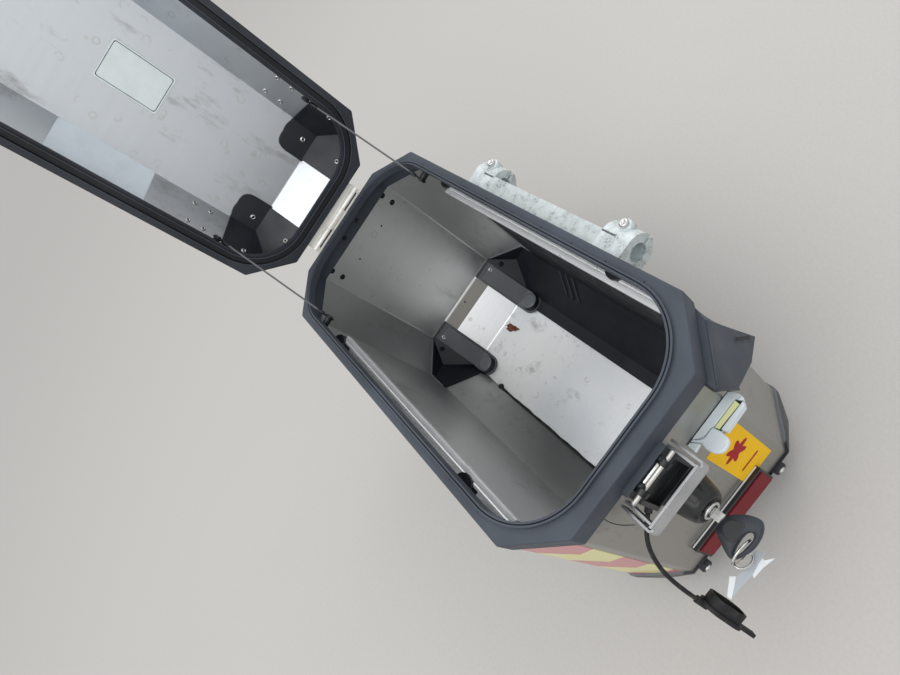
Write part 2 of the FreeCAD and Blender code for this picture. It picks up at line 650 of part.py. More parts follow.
lid_outer = pan("LidOuter", "lid_depth", "lid_slope", "lid_slope", "0",
            "bend_radius")
lid_inner = pan("LidInner", "lid_depth", "lid_slope", "lid_slope", "sheet_thick",
            "bend_radius - sheet_thick")
lid_mould_outer = pan("LidMouldOuter", "lid_depth", "lid_slope", "lid_slope", "0 - sheet_thick",
            "bend_radius + sheet_thick")
lid_mould_inner = pan("LidMouldInner", "lid_depth", "lid_slope", "lid_slope", "tab_thick",
            "bend_radius - sheet_thick")
LID_CORNER_X = "( case_length / 2 - wall_inset - lid_corner_long )"
LID_CORNER_Y = "( case_width / 2 - wall_inset - lid_corner_wide )"
TAB_Y = "( case_width / 2 - wall_inset - tab_in )"
lid_corner_box = box("LidCornerBox", (LID_CORNER_X, LID_CORNER_Y, "0 - lid_depth - 20"),
                     (FAR_X, FAR_Y, "0 - frame_height"))
lid_tab = disc("LidTab", "XY", LID_CORNER_X, TAB_Y, "lid_corner_wide - tab_in",
               "0 - lid_depth - 20", "30")
lid_room = fuse("LidCornerRoom", lid_corner_box, lid_tab)
lid_rooms = [lid_room]
lid_rooms.append(mirror("LidRoomOuter", lid_room, ALONG_Y))
lid_rooms.append(mirror("LidRoomFront", lid_room, ALONG_X))
lid_rooms.append(mirror("LidRoomFrontOuter", lid_rooms[1], ALONG_X))
lid_corner_rooms = fuse("LidCornerRooms", *lid_rooms)
lid_corner = cut("LidCorner", common("LidCornerBlock", lid_room, lid_mould_outer), lid_mould_inner)
lid_corner_other = mirror("LidCornerOther", lid_corner, ALONG_Y)
lid_corner_front = mirror("LidCornerFront", lid_corner, ALONG_X)
lid_corner_front_other = mirror("LidCornerFrontOther", lid_corner_other, ALONG_X)
publish("lid_corner_rear_outer", lid_corner, OPEN_PAN)
publish("lid_corner_rear_inner", lid_corner_other, OPEN_PAN)
publish("lid_corner_front_outer", lid_corner_front, OPEN_PAN)
publish("lid_corner_front_inner", lid_corner_front_other, OPEN_PAN)

rim_box = box("RimBox", ("0 - case_length", "0 - case_width", "0 - lip_rise"),
              ("case_length", "case_width", "20"))
lid_skin = cut("LidSkin", lid_outer, lid_inner)
lid_shell = cut("LidShell", lid_skin, fuse("LidTaken", lid_corner_rooms, rim_box))
publish("lid_shell", lid_shell, OPEN_PAN)

lid_plate = round_edges(
    octagon_block("LidPlate", "0", "0 - frame_height", "frame_height"), ALONG_Z, "bend_radius")
sheet_block = round_edges(octagon_block("SheetBlock", "wall_inset", "0 - 2 * frame_height",
                                        "2 * frame_height - lip_rise"), ALONG_Z, "bend_radius")
sheet_core = round_edges(octagon_block("SheetCore", INSIDE, "0 - 3 * frame_height",
                                       "4 * frame_height"), ALONG_Z, "bend_radius - sheet_thick")
sheet_gap = cut("SheetGap", sheet_block, sheet_core)
lid_mouth = rounded("LidMouth", "lid_inset", "0 - 2 * frame_height", "3 * frame_height")
lid_step = rounded("LidStep", "frame_land", "0 - frame_step", "2 * frame_height")
lid_frame = cut("LidFrame", lid_plate, fuse("LidFrameRoom", sheet_gap, lid_mouth, lid_step))
publish("lid_frame", lid_frame, OPEN_PAN)
seal_out = rounded("SealOut", "seal_inset", "0 - frame_step", "seal_height")
seal_in = rounded("SealIn", "seal_inset + seal_width", "0 - frame_step - 1", "seal_height + 2")
lid_seal = cut("LidSeal", seal_out, seal_in)
publish("lid_seal", lid_seal, OPEN_PAN)

# Two lanyards hold the open lid, each between a stud in the case and a stud in the lid

LANYARD_Y = SIDE - size("lanyard_in")
CASE_STUD = Vector(size("case_stud_in") - REAR, 0, -size("case_stud_drop"))
LID_STUD = SWING.multVec(Vector(size("lid_stud_in") - REAR, 0, size("lid_stud_rise")))
BAND_Y = "( %s - lip_thick )" % INNER_Y
STUD_END = "( %s - lanyard_in - stud_reach )" % WALL_Y
case_stud = disc("CaseStud", "XZ", "0 - %s + case_stud_in" % WALL_X, "0 - case_stud_drop",
                 "stud_radius", "0 - " + BAND_Y, BAND_Y + " - " + STUD_END)
lid_stud = disc("LidStud", "XZ", "0 - %s + lid_stud_in" % WALL_X, "lid_stud_rise", "stud_radius",
                "0 - " + INNER_Y, INNER_Y + " - " + STUD_END)
cord_block = doc.addObject("Part::Cylinder", "LanyardCord")
cord_block.setExpression("Radius", cell("lanyard_radius"))
cord_block.Height = CASE_STUD.distanceToPoint(LID_STUD)
cord_block.Placement = Placement(CASE_STUD + Vector(0, LANYARD_Y, 0),
                                 Rotation(ALONG_Z, LID_STUD - CASE_STUD))
stud_rooms = []
for number, middle in (("A", CASE_STUD), ("B", LID_STUD)):
    room = doc.addObject("Part::Cylinder", "StudRoom" + number)
    room.setExpression("Radius", cell("stud_radius"))
    room.setExpression("Height", cell("case_width"))
    room.Placement = Placement(middle, Rotation(ALONG_Z, ALONG_Y))
    stud_rooms.append(room)
lanyard = cut("Lanyard", cord_block, fuse("StudRooms", *stud_rooms))
publish("lanyard_inner", lanyard, CASE)
publish("lanyard_outer", mirror("LanyardOuter", lanyard, ALONG_Y), CASE)
publish("lanyard_stud_case_inner", case_stud, CASE)
publish("lanyard_stud_case_outer", mirror("CaseStudOuter", case_stud, ALONG_Y), CASE)
publish("lanyard_stud_lid_inner", lid_stud, OPEN_LID)
publish("lanyard_stud_lid_outer", mirror("LidStudOuter", lid_stud, ALONG_Y), OPEN_LID)

# Hinge at the front: two leaves, three knuckles and the pin

AXIS_X = "( 0 - case_length / 2 - hinge_offset )"
FACE_X = "( 0 - case_length / 2 )"
PART = "( hinge_length / 3 )"


def knuckles(name, numbers, radius, gap):
    """Cylinders on the hinge axis, over some of its three stretches."""
    rolls = []
    for number in numbers:
        start = "0 - hinge_length / 2 + %d * %s + ( %s )" % (number, PART, gap)
        rolls.append(disc("%s%d" % (name, number), "XZ", AXIS_X, "0", radius, start,
                          "%s - 2 * ( %s )" % (PART, gap)))
    return rolls


def leaf(name, sign, numbers, others):
    """A bent leaf with its own knuckles, cleared round the other leaf's."""
    bent = prism(name + "Bent", "XZ", [
        (AXIS_X, "%d * leaf_thick" % sign),
        (FACE_X, "%d * leaf_thick" % sign),
        (FACE_X, "%d * leaf_height" % sign),
        (FACE_X + " - leaf_thick", "%d * leaf_height" % sign),
        (FACE_X + " - leaf_thick", "%d * 2 * leaf_thick" % sign),
        (AXIS_X, "%d * 2 * leaf_thick" % sign),
    ], "0 - hinge_length / 2", "hinge_length")
    rolls = knuckles(name + "Roll", numbers, "hinge_radius", "knuckle_gap / 2")
    room = knuckles(name + "Room", others, "hinge_radius + knuckle_gap", "0 - knuckle_gap / 2")
    bore = disc(name + "Bore", "XZ", AXIS_X, "0", "pin_radius + pin_play",
                "0 - hinge_length", "2 * hinge_length")
    solid = fuse(name + "Solid", bent, *rolls)
    return cut(name, solid, fuse(name + "Away", bore, *room))


case_leaf = leaf("CaseLeaf", -1, (0, 2), (1,))
lid_leaf = leaf("LidLeaf", 1, (1,), (0, 2))
publish("hinge_leaf_case", case_leaf, CASE)
publish("hinge_leaf_lid", lid_leaf, OPEN_LID)
hinge_pin = disc("HingePin", "XZ", AXIS_X, "0", "pin_radius", "0 - hinge_length / 2", "hinge_length")
publish("hinge_pin", hinge_pin, CASE)

# Rear wall: latch base with its recess and ears, pivoting bail, and the lid's catch

PIVOT_X = "( %s + pivot_out )" % WALL_X
PIVOT_Z = "( 0 - latch_drop )"
LATCH_START = "0 - latch_side - latch_width / 2"
LATCH_LOW_Y = "( latch_side - latch_width / 2 )"
LATCH_HIGH_Y = "( latch_side + latch_width / 2 )"
base_block = prism("LatchBlock", "XZ", [
    (WALL_X, "0 - collar_height"),
    (WALL_X + " + latch_thick / 2", "0 - collar_height"),
    (WALL_X + " + latch_thick / 2", "0 - collar_height - latch_height / 5"),
    (WALL_X + " + latch_thick", "0 - collar_height - latch_height / 3"),
    (WALL_X + " + latch_thick", "0 - collar_height - latch_height + latch_wall"),
    (WALL_X + " + latch_thick - latch_wall", "0 - collar_height - latch_height"),
    (WALL_X, "0 - collar_height - latch_height"),
], LATCH_START, "latch_width")
recess = box("LatchRecess",
             (WALL_X + " + latch_floor", LATCH_LOW_Y + " + latch_wall",
              "0 - collar_height - latch_height + 2 * latch_floor"),
             (WALL_X + " + 2 * latch_thick", LATCH_HIGH_Y + " - latch_wall",
              "0 - collar_height - latch_height / 3"))
ear_parts = []
for number, start in (("A", LATCH_START + " + ear_in"),
                      ("B", LATCH_START + " + latch_width - ear_in - ear_wide")):
    ear = disc("Ear" + number, "XZ", PIVOT_X, PIVOT_Z, "3 * bail_radius", start, "ear_wide")
    web = prism("EarWeb" + number, "XZ", [
        (WALL_X + " + 2", PIVOT_Z),
        (PIVOT_X, PIVOT_Z + " + 2 * bail_radius"),
        (PIVOT_X, PIVOT_Z + " - 2 * bail_radius"),
        (WALL_X + " + 2", PIVOT_Z + " - 5 * bail_radius"),
    ], start, "ear_wide")
    ear_parts.extend((ear, web))
pivot_bore = disc("PivotBore", "XZ", PIVOT_X, PIVOT_Z, "bail_radius + pin_play",
                  LATCH_START + " - 10", "latch_width + 20")

# The cap tether leaves the latch base at its lower corner and ends on the keyhole cap

ANCHOR = Vector(REAR, size("latch_side") - size("latch_width") / 2,
                -size("collar_height") - 3 * size("latch_height") / 4)
TETHER = [ANCHOR + step for step in (
    Vector(7.5, -4.3, -0.5),
    Vector(14.5, -16.5, -0.5),
    Vector(23.0, -28.5, -13.5),
    Vector(38.0, -36.0, -30.5),
    Vector(53.5, -36.0, -48.0),
)]


def aimed(kind, name, start, towards):
    """A primitive that stands on a point and runs along a direction."""
    solid = doc.addObject(kind, name)
    solid.Placement = Placement(start, Rotation(ALONG_Z, towards))
    return solid


def gland(name, face, towards):
    """The tether's moulded end: its flat face looks along a direction."""
    way = towards.normalize()
    solid = aimed("Part::Cylinder", name, face - way * size("gland_length"), way)
    solid.setExpression("Radius", cell("gland_radius"))
    solid.setExpression("Height", cell("gland_length"))
    doc.recompute()
    return solid


latch_solid = fuse("LatchSolid", cut("LatchHollow", base_block, recess), *ear_parts,
                   gland("LatchGland", TETHER[0], TETHER[1] - TETHER[0]))
latch_base = cut("LatchBase", latch_solid, pivot_bore)
publish("latch_base", latch_base, CASE)

BAIL = CASE.multiply(Placement(Vector(0, 0, 0), Rotation(Vector(0, 1, 0), -size("bail_angle")),
                               Vector(REAR + size("pivot_out"), 0, -size("latch_drop"))))
BAIL_LOW = PIVOT_Z + " - bail_arm / 2"
BAIL_END = PIVOT_X + " + bail_reach"


def folded_arm(name, side):
    """One arm of the bail: a strip folded back on itself round a bevelled bend."""
    near = "( latch_side + %d * ( latch_width / 2 + bail_play ) )" % side
    loops = []
    for label, inset, back in (("Out", "0", "bail_arm / 2"), ("In", "bail_thick", "bail_arm")):
        low = "%s + %d * ( %s )" % (near, side, inset)
        high = "%s + %d * ( 2 * bail_thick + bail_fold - ( %s ) )" % (near, side, inset)
        bend = "( bail_bend - 0.9 * ( %s ) )" % inset
        end = "%s - ( %s )" % (BAIL_END, inset)
        loops.append(prism(name + label, "XY", [
            (PIVOT_X + " - " + back, low),
            (end + " - " + bend, low),
            (end, "%s + %d * %s" % (low, side, bend)),
            (end, "%s - %d * %s" % (high, side, bend)),
            (end + " - " + bend, high),
            (PIVOT_X + " - " + back, high),
        ], BAIL_LOW + (" - 1" if label == "In" else ""), "bail_arm" + (" + 2" if label == "In" else "")))
    return cut(name, *loops)


arms = [folded_arm("BailArmHigh", 1), folded_arm("BailArmLow", -1)]
plate = box("BailPlate", (BAIL_END + " - bail_thick", LATCH_LOW_Y + " - bail_play - bail_bend", BAIL_LOW),
            (BAIL_END, LATCH_HIGH_Y + " + bail_play + bail_bend", BAIL_LOW + " + bail_plate"))
bail_pin = disc("BailPin", "XZ", PIVOT_X, PIVOT_Z, "bail_radius",
                LATCH_START + " - bail_play", "latch_width + 2 * bail_play")
bail = fuse("Bail", plate, *arms)
publish("latch_bail", bail, BAIL)
publish("latch_pin", bail_pin, BAIL)

catch = prism("LidCatch", "XZ", [
    ("case_length / 2", "lid_gap + 0.5"),
    ("case_length / 2 + 5", "lid_gap + 0.5"),
    ("case_length / 2 + 5", "lid_gap + 2"),
    ("case_length / 2 + 1", "lid_gap + 2"),
    ("case_length / 2 + 1", "lid_gap + frame_height - 1"),
    ("case_length / 2", "lid_gap + frame_height - 1"),
], LATCH_START + " + 2", "latch_width - 4")
publish("lid_catch", catch, OPEN_LID)

runs = [TETHER[number + 1] - TETHER[number] for number in range(len(TETHER) - 1)]
edges = []
last = TETHER[0]
for number in range(1, len(runs)):
    before = runs[number - 1]
    after = runs[number]
    turn = before.getAngle(after)
    reach = 0.45 * min(before.Length, after.Length)
    bend = reach / math.tan(turn / 2)
    print("tether bend %d radius %.1f mm" % (number, bend))
    corner = TETHER[number]
    enter = corner - before * (reach / before.Length)
    leave = corner + after * (reach / after.Length)
    inward = (after * (1 / after.Length) - before * (1 / before.Length)).normalize()
    hub = corner + inward * (bend / math.cos(turn / 2))
    edges.append(Part.LineSegment(last, enter).toShape())
    edges.append(Part.Arc(enter, hub - inward * bend, leave).toShape())
    last = leave
edges.append(Part.LineSegment(last, TETHER[-1]).toShape())
route = Part.Wire(edges)
mouth = Part.Wire([Part.Circle(TETHER[0], runs[0], size("tether_radius")).toShape()])
tube = doc.addObject("Part::Feature", "Tether")
tube.Shape = route.makePipeShell([mouth], True, True)
print("tether length %.1f mm" % route.Length)
publish("cap_tether", tube, CASE)

# The cap lies in the plane of the tether's last run; it is drawn with its length along X

cap_low = round_edges(prism("CapFlange", "XZ", [
    ("0", "0 - cap_wide / 2"),
    ("cap_long", "0 - cap_wide / 2"),
    ("cap_long", "cap_wide / 2"),
    ("0", "cap_wide / 2"),
], "0", "cap_flange"), ALONG_Y, "cap_wide / 2 - 1")
cup_wall = round_edges(prism("CapCup", "XZ", [
    ("cap_wall", "0 - cap_wide / 2 + cap_wall"),
    ("cap_long - cap_wall", "0 - cap_wide / 2 + cap_wall"),
    ("cap_long - cap_wall", "cap_wide / 2 - cap_wall"),
    ("cap_wall", "cap_wide / 2 - cap_wall"),
], "0 - cap_cup", "cap_cup + 1"), ALONG_Y, "cap_wide / 2 - cap_wall - 1")
cup_room = round_edges(prism("CapRoom", "XZ", [
    ("2 * cap_wall", "0 - cap_wide / 2 + 2 * cap_wall"),
    ("cap_long - 2 * cap_wall", "0 - cap_wide / 2 + 2 * cap_wall"),
    ("cap_long - 2 * cap_wall", "cap_wide / 2 - 2 * cap_wall"),
    ("2 * cap_wall", "cap_wide / 2 - 2 * cap_wall"),
], "0 - cap_cup - 5", "cap_cup + 5"), ALONG_Y, "cap_wide / 2 - 2 * cap_wall - 1")
pull_tab = box("CapTab", ("cap_long - 2", "0 - cap_flange", "0 - gland_radius"),
               ("cap_long + cap_tab", "0", "gland_radius"))
cap_gland = disc("CapGland", "YZ", "0 - gland_radius", "0", "gland_radius", "0 - gland_length + 2",
                 "gland_length + 4")
cap = cut("Cap", fuse("CapSolid", cap_low, cup_wall, pull_tab, cap_gland), cup_room)
slope = math.degrees(math.atan2(-runs[-1].z, runs[-1].x))
cap_turn = Rotation(Vector(0, 1, 0), slope)
cap_face = Vector(-size("gland_length") + 2, -size("gland_radius"), 0)
CAP = CASE.multiply(Placement(TETHER[-1] - cap_turn.multVec(cap_face), cap_turn))
publish("keyhole_cap", cap, CAP)

# Lock: conical housing on a foot plate, barrel, key with its ring and tag

LOCK_Z = "( 0 - lock_drop )"
cone = doc.addObject("Part::Cone", "LockCone")
cone.setExpression("Radius1", cell("lock_foot"))
cone.setExpression("Radius2", cell("lock_nose"))
cone.setExpression("Height", cell("lock_reach"))
cone.Placement = Placement(
    Vector(REAR, size("lock_side"), -size("lock_drop")),
    Rotation(Vector(0, 1, 0), 90))
foot_plate = box("LockFoot",
                 (WALL_X, "lock_side - lock_foot - lock_flange", LOCK_Z + " - flange_high / 2"),
                 (WALL_X + " + lock_flange", "lock_side + lock_foot + lock_flange",
                  LOCK_Z + " + flange_high / 2"))
barrel_bore = disc("BarrelBore", "YZ", "lock_side", LOCK_Z, "barrel_radius",
                   WALL_X + " + barrel_deep", "2 * lock_reach")
housing = cut("LockHousing", fuse("LockSolid", cone, foot_plate), barrel_bore)
publish("lock_housing", housing, CASE)
barrel = disc("LockBarrel", "YZ", "lock_side", LOCK_Z, "barrel_radius",
              WALL_X + " + barrel_deep", "lock_reach - barrel_deep + barrel_proud")
publish("lock_barrel", barrel, CASE)
BARREL_X = "( %s + lock_reach + barrel_proud )" % WALL_X
neck = box("KeyNeck", (BARREL_X, "lock_side - blade_wide / 2", LOCK_Z + " - blade_thick / 2"),
           (BARREL_X + " + key_neck", "lock_side + blade_wide / 2", LOCK_Z + " + blade_thick / 2"))
head = prism("KeyHead", "XY", [
    (BARREL_X + " + key_neck", "lock_side - key_width / 4"),
    (BARREL_X + " + key_neck + key_long / 3", "lock_side - key_width / 2"),
    (BARREL_X + " + key_neck + key_long", "lock_side - key_width / 2"),
    (BARREL_X + " + key_neck + key_long", "lock_side + key_width / 2"),
    (BARREL_X + " + key_neck + key_long / 3", "lock_side + key_width / 2"),
    (BARREL_X + " + key_neck", "lock_side + key_width / 4"),
], LOCK_Z + " - key_thick / 2", "key_thick")
round_edges(head, ALONG_Z, "key_width / 5")
HOLE_X = "( %s + key_neck + key_long - hole_in )" % BARREL_X
ring_hole = disc("KeyHole", "XY", HOLE_X, "lock_side - hole_shift", "hole_radius",
                 LOCK_Z + " - key_thick", "2 * key_thick")
dish = disc("KeyDish", "XY", BARREL_X + " + key_neck + 2 * key_long / 5", "lock_side", "dish_radius",
            LOCK_Z + " + key_thick / 2 - dish_deep", "key_thick")
key_head = cut("KeyGrip", head, fuse("KeyAway", ring_hole, dish))
publish("key_blade", neck, CASE)
publish("key_head", key_head, CASE)
section = []
for number in range(6):
    turn = math.radians(60 * number)
    section.append(("ring_radius + ring_wire * %.4f" % math.cos(turn),
                    "ring_wire * %.4f" % math.sin(turn)))
ring = turned("KeyRing", section)
hole_x = (REAR + size("lock_reach") + size("barrel_proud") + size("key_neck")
          + size("key_long") - size("hole_in"))
chord = math.sqrt(size("ring_radius") ** 2 - size("ring_hang") ** 2)
ring_y = size("lock_side") - chord
ring.Placement = Placement(Vector(hole_x, ring_y, -size("lock_drop") - size("ring_hang")),
                           Rotation(Vector(0, 1, 0), 90))
publish("key_ring", ring, CASE)
TAG_Z = "( 0 - lock_drop - tag_drop )"
tag = prism("TagLeaves", "XZ", [
    (HOLE_X + " - tag_width / 2", TAG_Z),
    (HOLE_X + " + tag_width / 2", TAG_Z),
    (HOLE_X + " + tag_width", TAG_Z + " - tag_width"),
    (HOLE_X + " + tag_width - tag_thick", TAG_Z + " - tag_width"),
    (HOLE_X + " + tag_width / 2 - tag_thick", TAG_Z + " - tag_thick"),
    (HOLE_X + " - tag_width / 2", TAG_Z + " - tag_thick"),
], "0 - lock_side + 2 * ring_radius - tag_lap", "tag_long")
sink = size("tag_drop") - size("ring_hang")
tag_hole_y = ring_y - math.sqrt(size("ring_radius") ** 2 - sink ** 2)
tag_hole = doc.addObject("Part::Cylinder", "TagHole")
tag_hole.setExpression("Radius", cell("tag_hole"))
tag_hole.setExpression("Height", cell("2 * tag_drop"))
tag_hole.Placement = Placement(Vector(hole_x, tag_hole_y, -size("lock_drop") - 2 * size("tag_drop")),
                               Rotation())
publish("key_tag", cut("KeyTag", tag, tag_hole), CASE)

# Release lever with its thumb tab, and the moulded cover on the rear facet

lever = prism("LeverBar", "XZ", [
    (WALL_X, "0 - lever_drop"),
    (WALL_X + " + lever_thick - lever_bevel", "0 - lever_drop"),
    (WALL_X + " + lever_thick", "0 - lever_drop - lever_bevel"),
    (WALL_X + " + lever_thick", "0 - lever_drop - lever_height + lever_bevel"),
    (WALL_X + " + lever_thick - lever_bevel", "0 - lever_drop - lever_height"),
    (WALL_X, "0 - lever_drop - lever_height"),
], "0 - lever_start - lever_length", "lever_length")
thumb = disc("ThumbTab", "XY", WALL_X + " + lever_thick + thumb_out",
             "lever_start + thumb_radius + thumb_in", "thumb_radius",
             "0 - lever_drop - thumb_thick", "thumb_thick")
publish("release_lever", fuse("ReleaseLever", lever, thumb), CASE)

FACET_LONG = "( %s * %s )" % (ROOT_TWO, NIP)
COVER_LOW = "0 - cover_drop - cover_height"
DEEP = "( cover_thick + cover_flare )"
cover_block = lofted("CoverBlock", [
    ("0", "0"),
    (DEEP, "0 - " + DEEP),
    (DEEP, FACET_LONG + " - 1"),
    ("0", FACET_LONG),
], COVER_LOW, [
    ("0", "0"),
    ("cover_thick", "0 - cover_thick"),
    ("cover_thick", FACET_LONG + " - cover_nose"),
    ("0", FACET_LONG),
], "0 - cover_drop")
cover_side = prism("CoverSide", "YZ", [
    ("0 - cover_thick - 1", "0 - cover_drop"),
    (FACET_LONG, "0 - cover_drop"),
    (FACET_LONG, COVER_LOW),
    (FACET_LONG + " - cover_tip", COVER_LOW + " + cover_step"),
    ("cover_shift", "0 - cover_drop - cover_near"),
], "0", DEEP)
cover = common("CornerCover", cover_block, cover_side)
nip = size("corner_cut") - (2 - math.sqrt(2)) * size("wall_inset")
FACET = Placement(Vector(REAR, SIDE - nip, 0), Rotation(ALONG_Z, 45))
publish("corner_cover", cover, CASE.multiply(FACET))

# Red reflector in its holder, low on the rear wall

HOLDER_TOP = "%s + reflector_rise + reflector_height" % KNEE
LENS_TOP = HOLDER_TOP + " - lens_drop"
holder_block = box("HolderBlock",
                   (WALL_X, "reflector_side - reflector_length / 2", KNEE + " + reflector_rise"),
                   (WALL_X + " + reflector_thick", "reflector_side + reflector_length / 2", HOLDER_TOP))
lens = box("Lens",
           (WALL_X + " + holder_rim", "reflector_side - reflector_length / 2 + holder_rim",
            LENS_TOP + " - lens_height"),
           (WALL_X + " + reflector_thick + lens_proud",
            "reflector_side + reflector_length / 2 - holder_rim", LENS_TOP))
publish("reflector_holder", cut("Holder", holder_block, lens), CASE)
publish("reflector_lens", lens, CASE)

# Mount: cast bar along the vehicle side with two clamps for the rack tube

TUBE_Y = "( %s + clamp_gap + clamp_outer )" % WALL_Y
TUBE_Z = "( 0 - tube_drop )"
MIDDLE = "clamp_shift"
bar_block = box("BarBlock",
                (MIDDLE + " - clamp_span / 2", WALL_Y, "0 - tube_drop + clamp_outer - bar_height"),
                (MIDDLE + " + clamp_span / 2", TUBE_Y + " + 2", "0 - tube_drop + clamp_outer"))
tube_room = disc("TubeRoom", "YZ", TUBE_Y, TUBE_Z, "tube_radius + bar_gap",
                 "0 - case_length", "2 * case_length")
bore_room = disc("BoreRoom", "YZ", TUBE_Y, TUBE_Z, "tube_radius", "0 - case_length",
                 "2 * case_length")
clamp_tools = []
for label, sign in (("front", "0 -"), ("rear", "0 +")):
    middle = "%s %s clamp_span / 2" % (MIDDLE, sign[2:])
    ring = disc("ClampRing_" + label, "YZ", TUBE_Y, TUBE_Z, "clamp_outer",
                middle + " - clamp_length / 2", "clamp_length")
    block = box("ClampBlock_" + label,
                (middle + " - clamp_length / 2", WALL_Y, "0 - tube_drop - clamp_outer"),
                (middle + " + clamp_length / 2", TUBE_Y, "0 - tube_drop + clamp_outer"))
    slit = box("ClampSlit_" + label,
               (middle + " - clamp_length", TUBE_Y, "0 - tube_drop - clamp_split / 2"),
               (middle + " + clamp_length", TUBE_Y + " + 2 * clamp_outer",
                "0 - tube_drop + clamp_split / 2"))
    solid = fuse("ClampSolid_" + label, ring, block)
    clamp = cut("Clamp_" + label, solid, fuse("ClampAway_" + label, bore_room, slit))
    clamp_tools.append(solid)
    publish("rack_clamp_" + label, clamp, CASE)
bar = cut("MountBar", bar_block, fuse("BarAway", tube_room, *clamp_tools))
publish("mount_bar", bar, CASE)

# Check every piece, then write it

doc.recompute()
for item in doc.Objects:
    if "Invalid" in item.State or "Error" in item.State:
        raise RuntimeError("%s failed: %s" % (item.Name, item.State))
os.makedirs("parts", exist_ok=True)
for item in pieces:
    if item.Shape.isNull() or not item.Shape.isValid():
        raise RuntimeError("%s has no valid shape" % item.Label)
    item.Shape.exportStep("parts/%s.step" % item.Label)
    print(item.Label, len(item.Shape.Solids), round(item.Shape.Volume))
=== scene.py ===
"""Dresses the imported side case: finishes, fasteners, labels, tether, stage and camera."""

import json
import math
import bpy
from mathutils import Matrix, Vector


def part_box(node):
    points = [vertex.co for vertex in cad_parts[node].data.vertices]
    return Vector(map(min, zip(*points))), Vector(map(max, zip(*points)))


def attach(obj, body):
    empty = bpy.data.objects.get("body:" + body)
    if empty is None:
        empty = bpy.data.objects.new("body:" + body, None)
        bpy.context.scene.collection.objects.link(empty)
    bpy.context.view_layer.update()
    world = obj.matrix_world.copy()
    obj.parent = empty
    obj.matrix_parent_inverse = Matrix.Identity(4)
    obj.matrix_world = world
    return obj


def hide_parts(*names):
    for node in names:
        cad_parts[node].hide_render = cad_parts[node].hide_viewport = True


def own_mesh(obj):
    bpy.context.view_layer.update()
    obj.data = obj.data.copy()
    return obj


bl_info = {
    "name": "Side Case Dressing",
    "version": (1, 0, 0),
    "blender": (4, 5, 0),
    "location": "View3D > Sidebar > Side Case",
    "description": "Finishes and small parts of an aluminium side case with its lid open",
    "category": "Object",
}

import bpy
import numpy as np
from mathutils import Matrix

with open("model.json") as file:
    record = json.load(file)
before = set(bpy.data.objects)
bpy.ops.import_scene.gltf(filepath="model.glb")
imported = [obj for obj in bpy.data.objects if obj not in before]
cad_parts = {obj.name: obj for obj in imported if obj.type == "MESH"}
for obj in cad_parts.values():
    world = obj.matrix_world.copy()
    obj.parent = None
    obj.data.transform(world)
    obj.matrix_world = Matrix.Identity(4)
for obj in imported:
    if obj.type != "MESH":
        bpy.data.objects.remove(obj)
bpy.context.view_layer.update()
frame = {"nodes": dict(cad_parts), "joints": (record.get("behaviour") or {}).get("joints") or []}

# Places are worked out in case millimetres: x to the rear, y to the vehicle, z up from the
# collar's flange, with the middle of the collar at x = y = 0. The lid is drawn closed.

MM = 0.001
LIP_RISE = 3.0
COLLAR_LOW, COLLAR_HIGH = (np.array(corner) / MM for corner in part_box("collar"))
CASE_MIDDLE = (COLLAR_LOW + COLLAR_HIGH) / 2
CASE_MIDDLE[2] = COLLAR_HIGH[2] - LIP_RISE
HALF_LONG = (COLLAR_HIGH[0] - COLLAR_LOW[0]) / 2
HALF_WIDE = (COLLAR_HIGH[1] - COLLAR_LOW[1]) / 2
JOINTS = {joint["name"]: joint for joint in frame["joints"]}
HINGE = np.array(JOINTS["lid_hinge"]["pos_m"]) / MM - CASE_MIDDLE
OPEN_ANGLE = math.radians(JOINTS["lid_hinge"]["range_deg"][1])
PIVOT = np.array(JOINTS["latch_pivot"]["pos_m"]) / MM - CASE_MIDDLE
FLOOR_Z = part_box("corner_rear_inner")[0][2]

WALL = 2.0
SHEET = 1.5
SLOPE = math.sqrt(0.5)
REAR_X = HALF_LONG - WALL
SIDE_Y = HALF_WIDE - WALL
FACET_CUT = 42.83
SLOPE_TOP = -230.5
FLOOR_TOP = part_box("floor_plate")[0][2] / MM - CASE_MIDDLE[2] + SHEET
LID_PANEL = 61.5
LID_KNEE = 22.0
MOUTH_ROUND = 74.7
MOUTH_REAR = 3.8
MOUTH_STEPS = 24

X_AXIS, Y_AXIS, Z_AXIS = (1, 0, 0), (0, 1, 0), (0, 0, 1)
UP_SLOPE = (0.0, SLOPE, SLOPE)

# What turns a spot into its mirror images, at the two sides, the two ends or all four corners
SIDES = ((1, 1, 1), (1, -1, 1))
ENDS = ((-1, 1, 1), (1, 1, 1))
CORNERS = SIDES + ((-1, 1, 1), (-1, -1, 1))


def in_case(points):
    """Case millimetres to row metres."""
    return (np.asarray(points, float) + CASE_MIDDLE) * MM


def in_lid(points):
    """Points of the closed lid, in case millimetres, turned open about the hinge, in row metres."""
    away = np.asarray(points, float) - HINGE
    cosine = math.cos(OPEN_ANGLE)
    sine = math.sin(OPEN_ANGLE)
    turned = np.stack([
        away[..., 0] * cosine - away[..., 2] * sine,
        away[..., 1],
        away[..., 0] * sine + away[..., 2] * cosine,
    ], axis=-1)
    return in_case(turned + HINGE)


def node_box(name):
    """The low and the high corner of a CAD node's box, in case millimetres."""
    return (np.array(corner) / MM - CASE_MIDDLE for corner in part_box(name))


def unit(vector):
    """The same direction with length 1."""
    return vector / np.linalg.norm(vector)


PLACES = {"case": in_case, "lid": in_lid}


# Meshes from arrays: a shape is its points and its faces


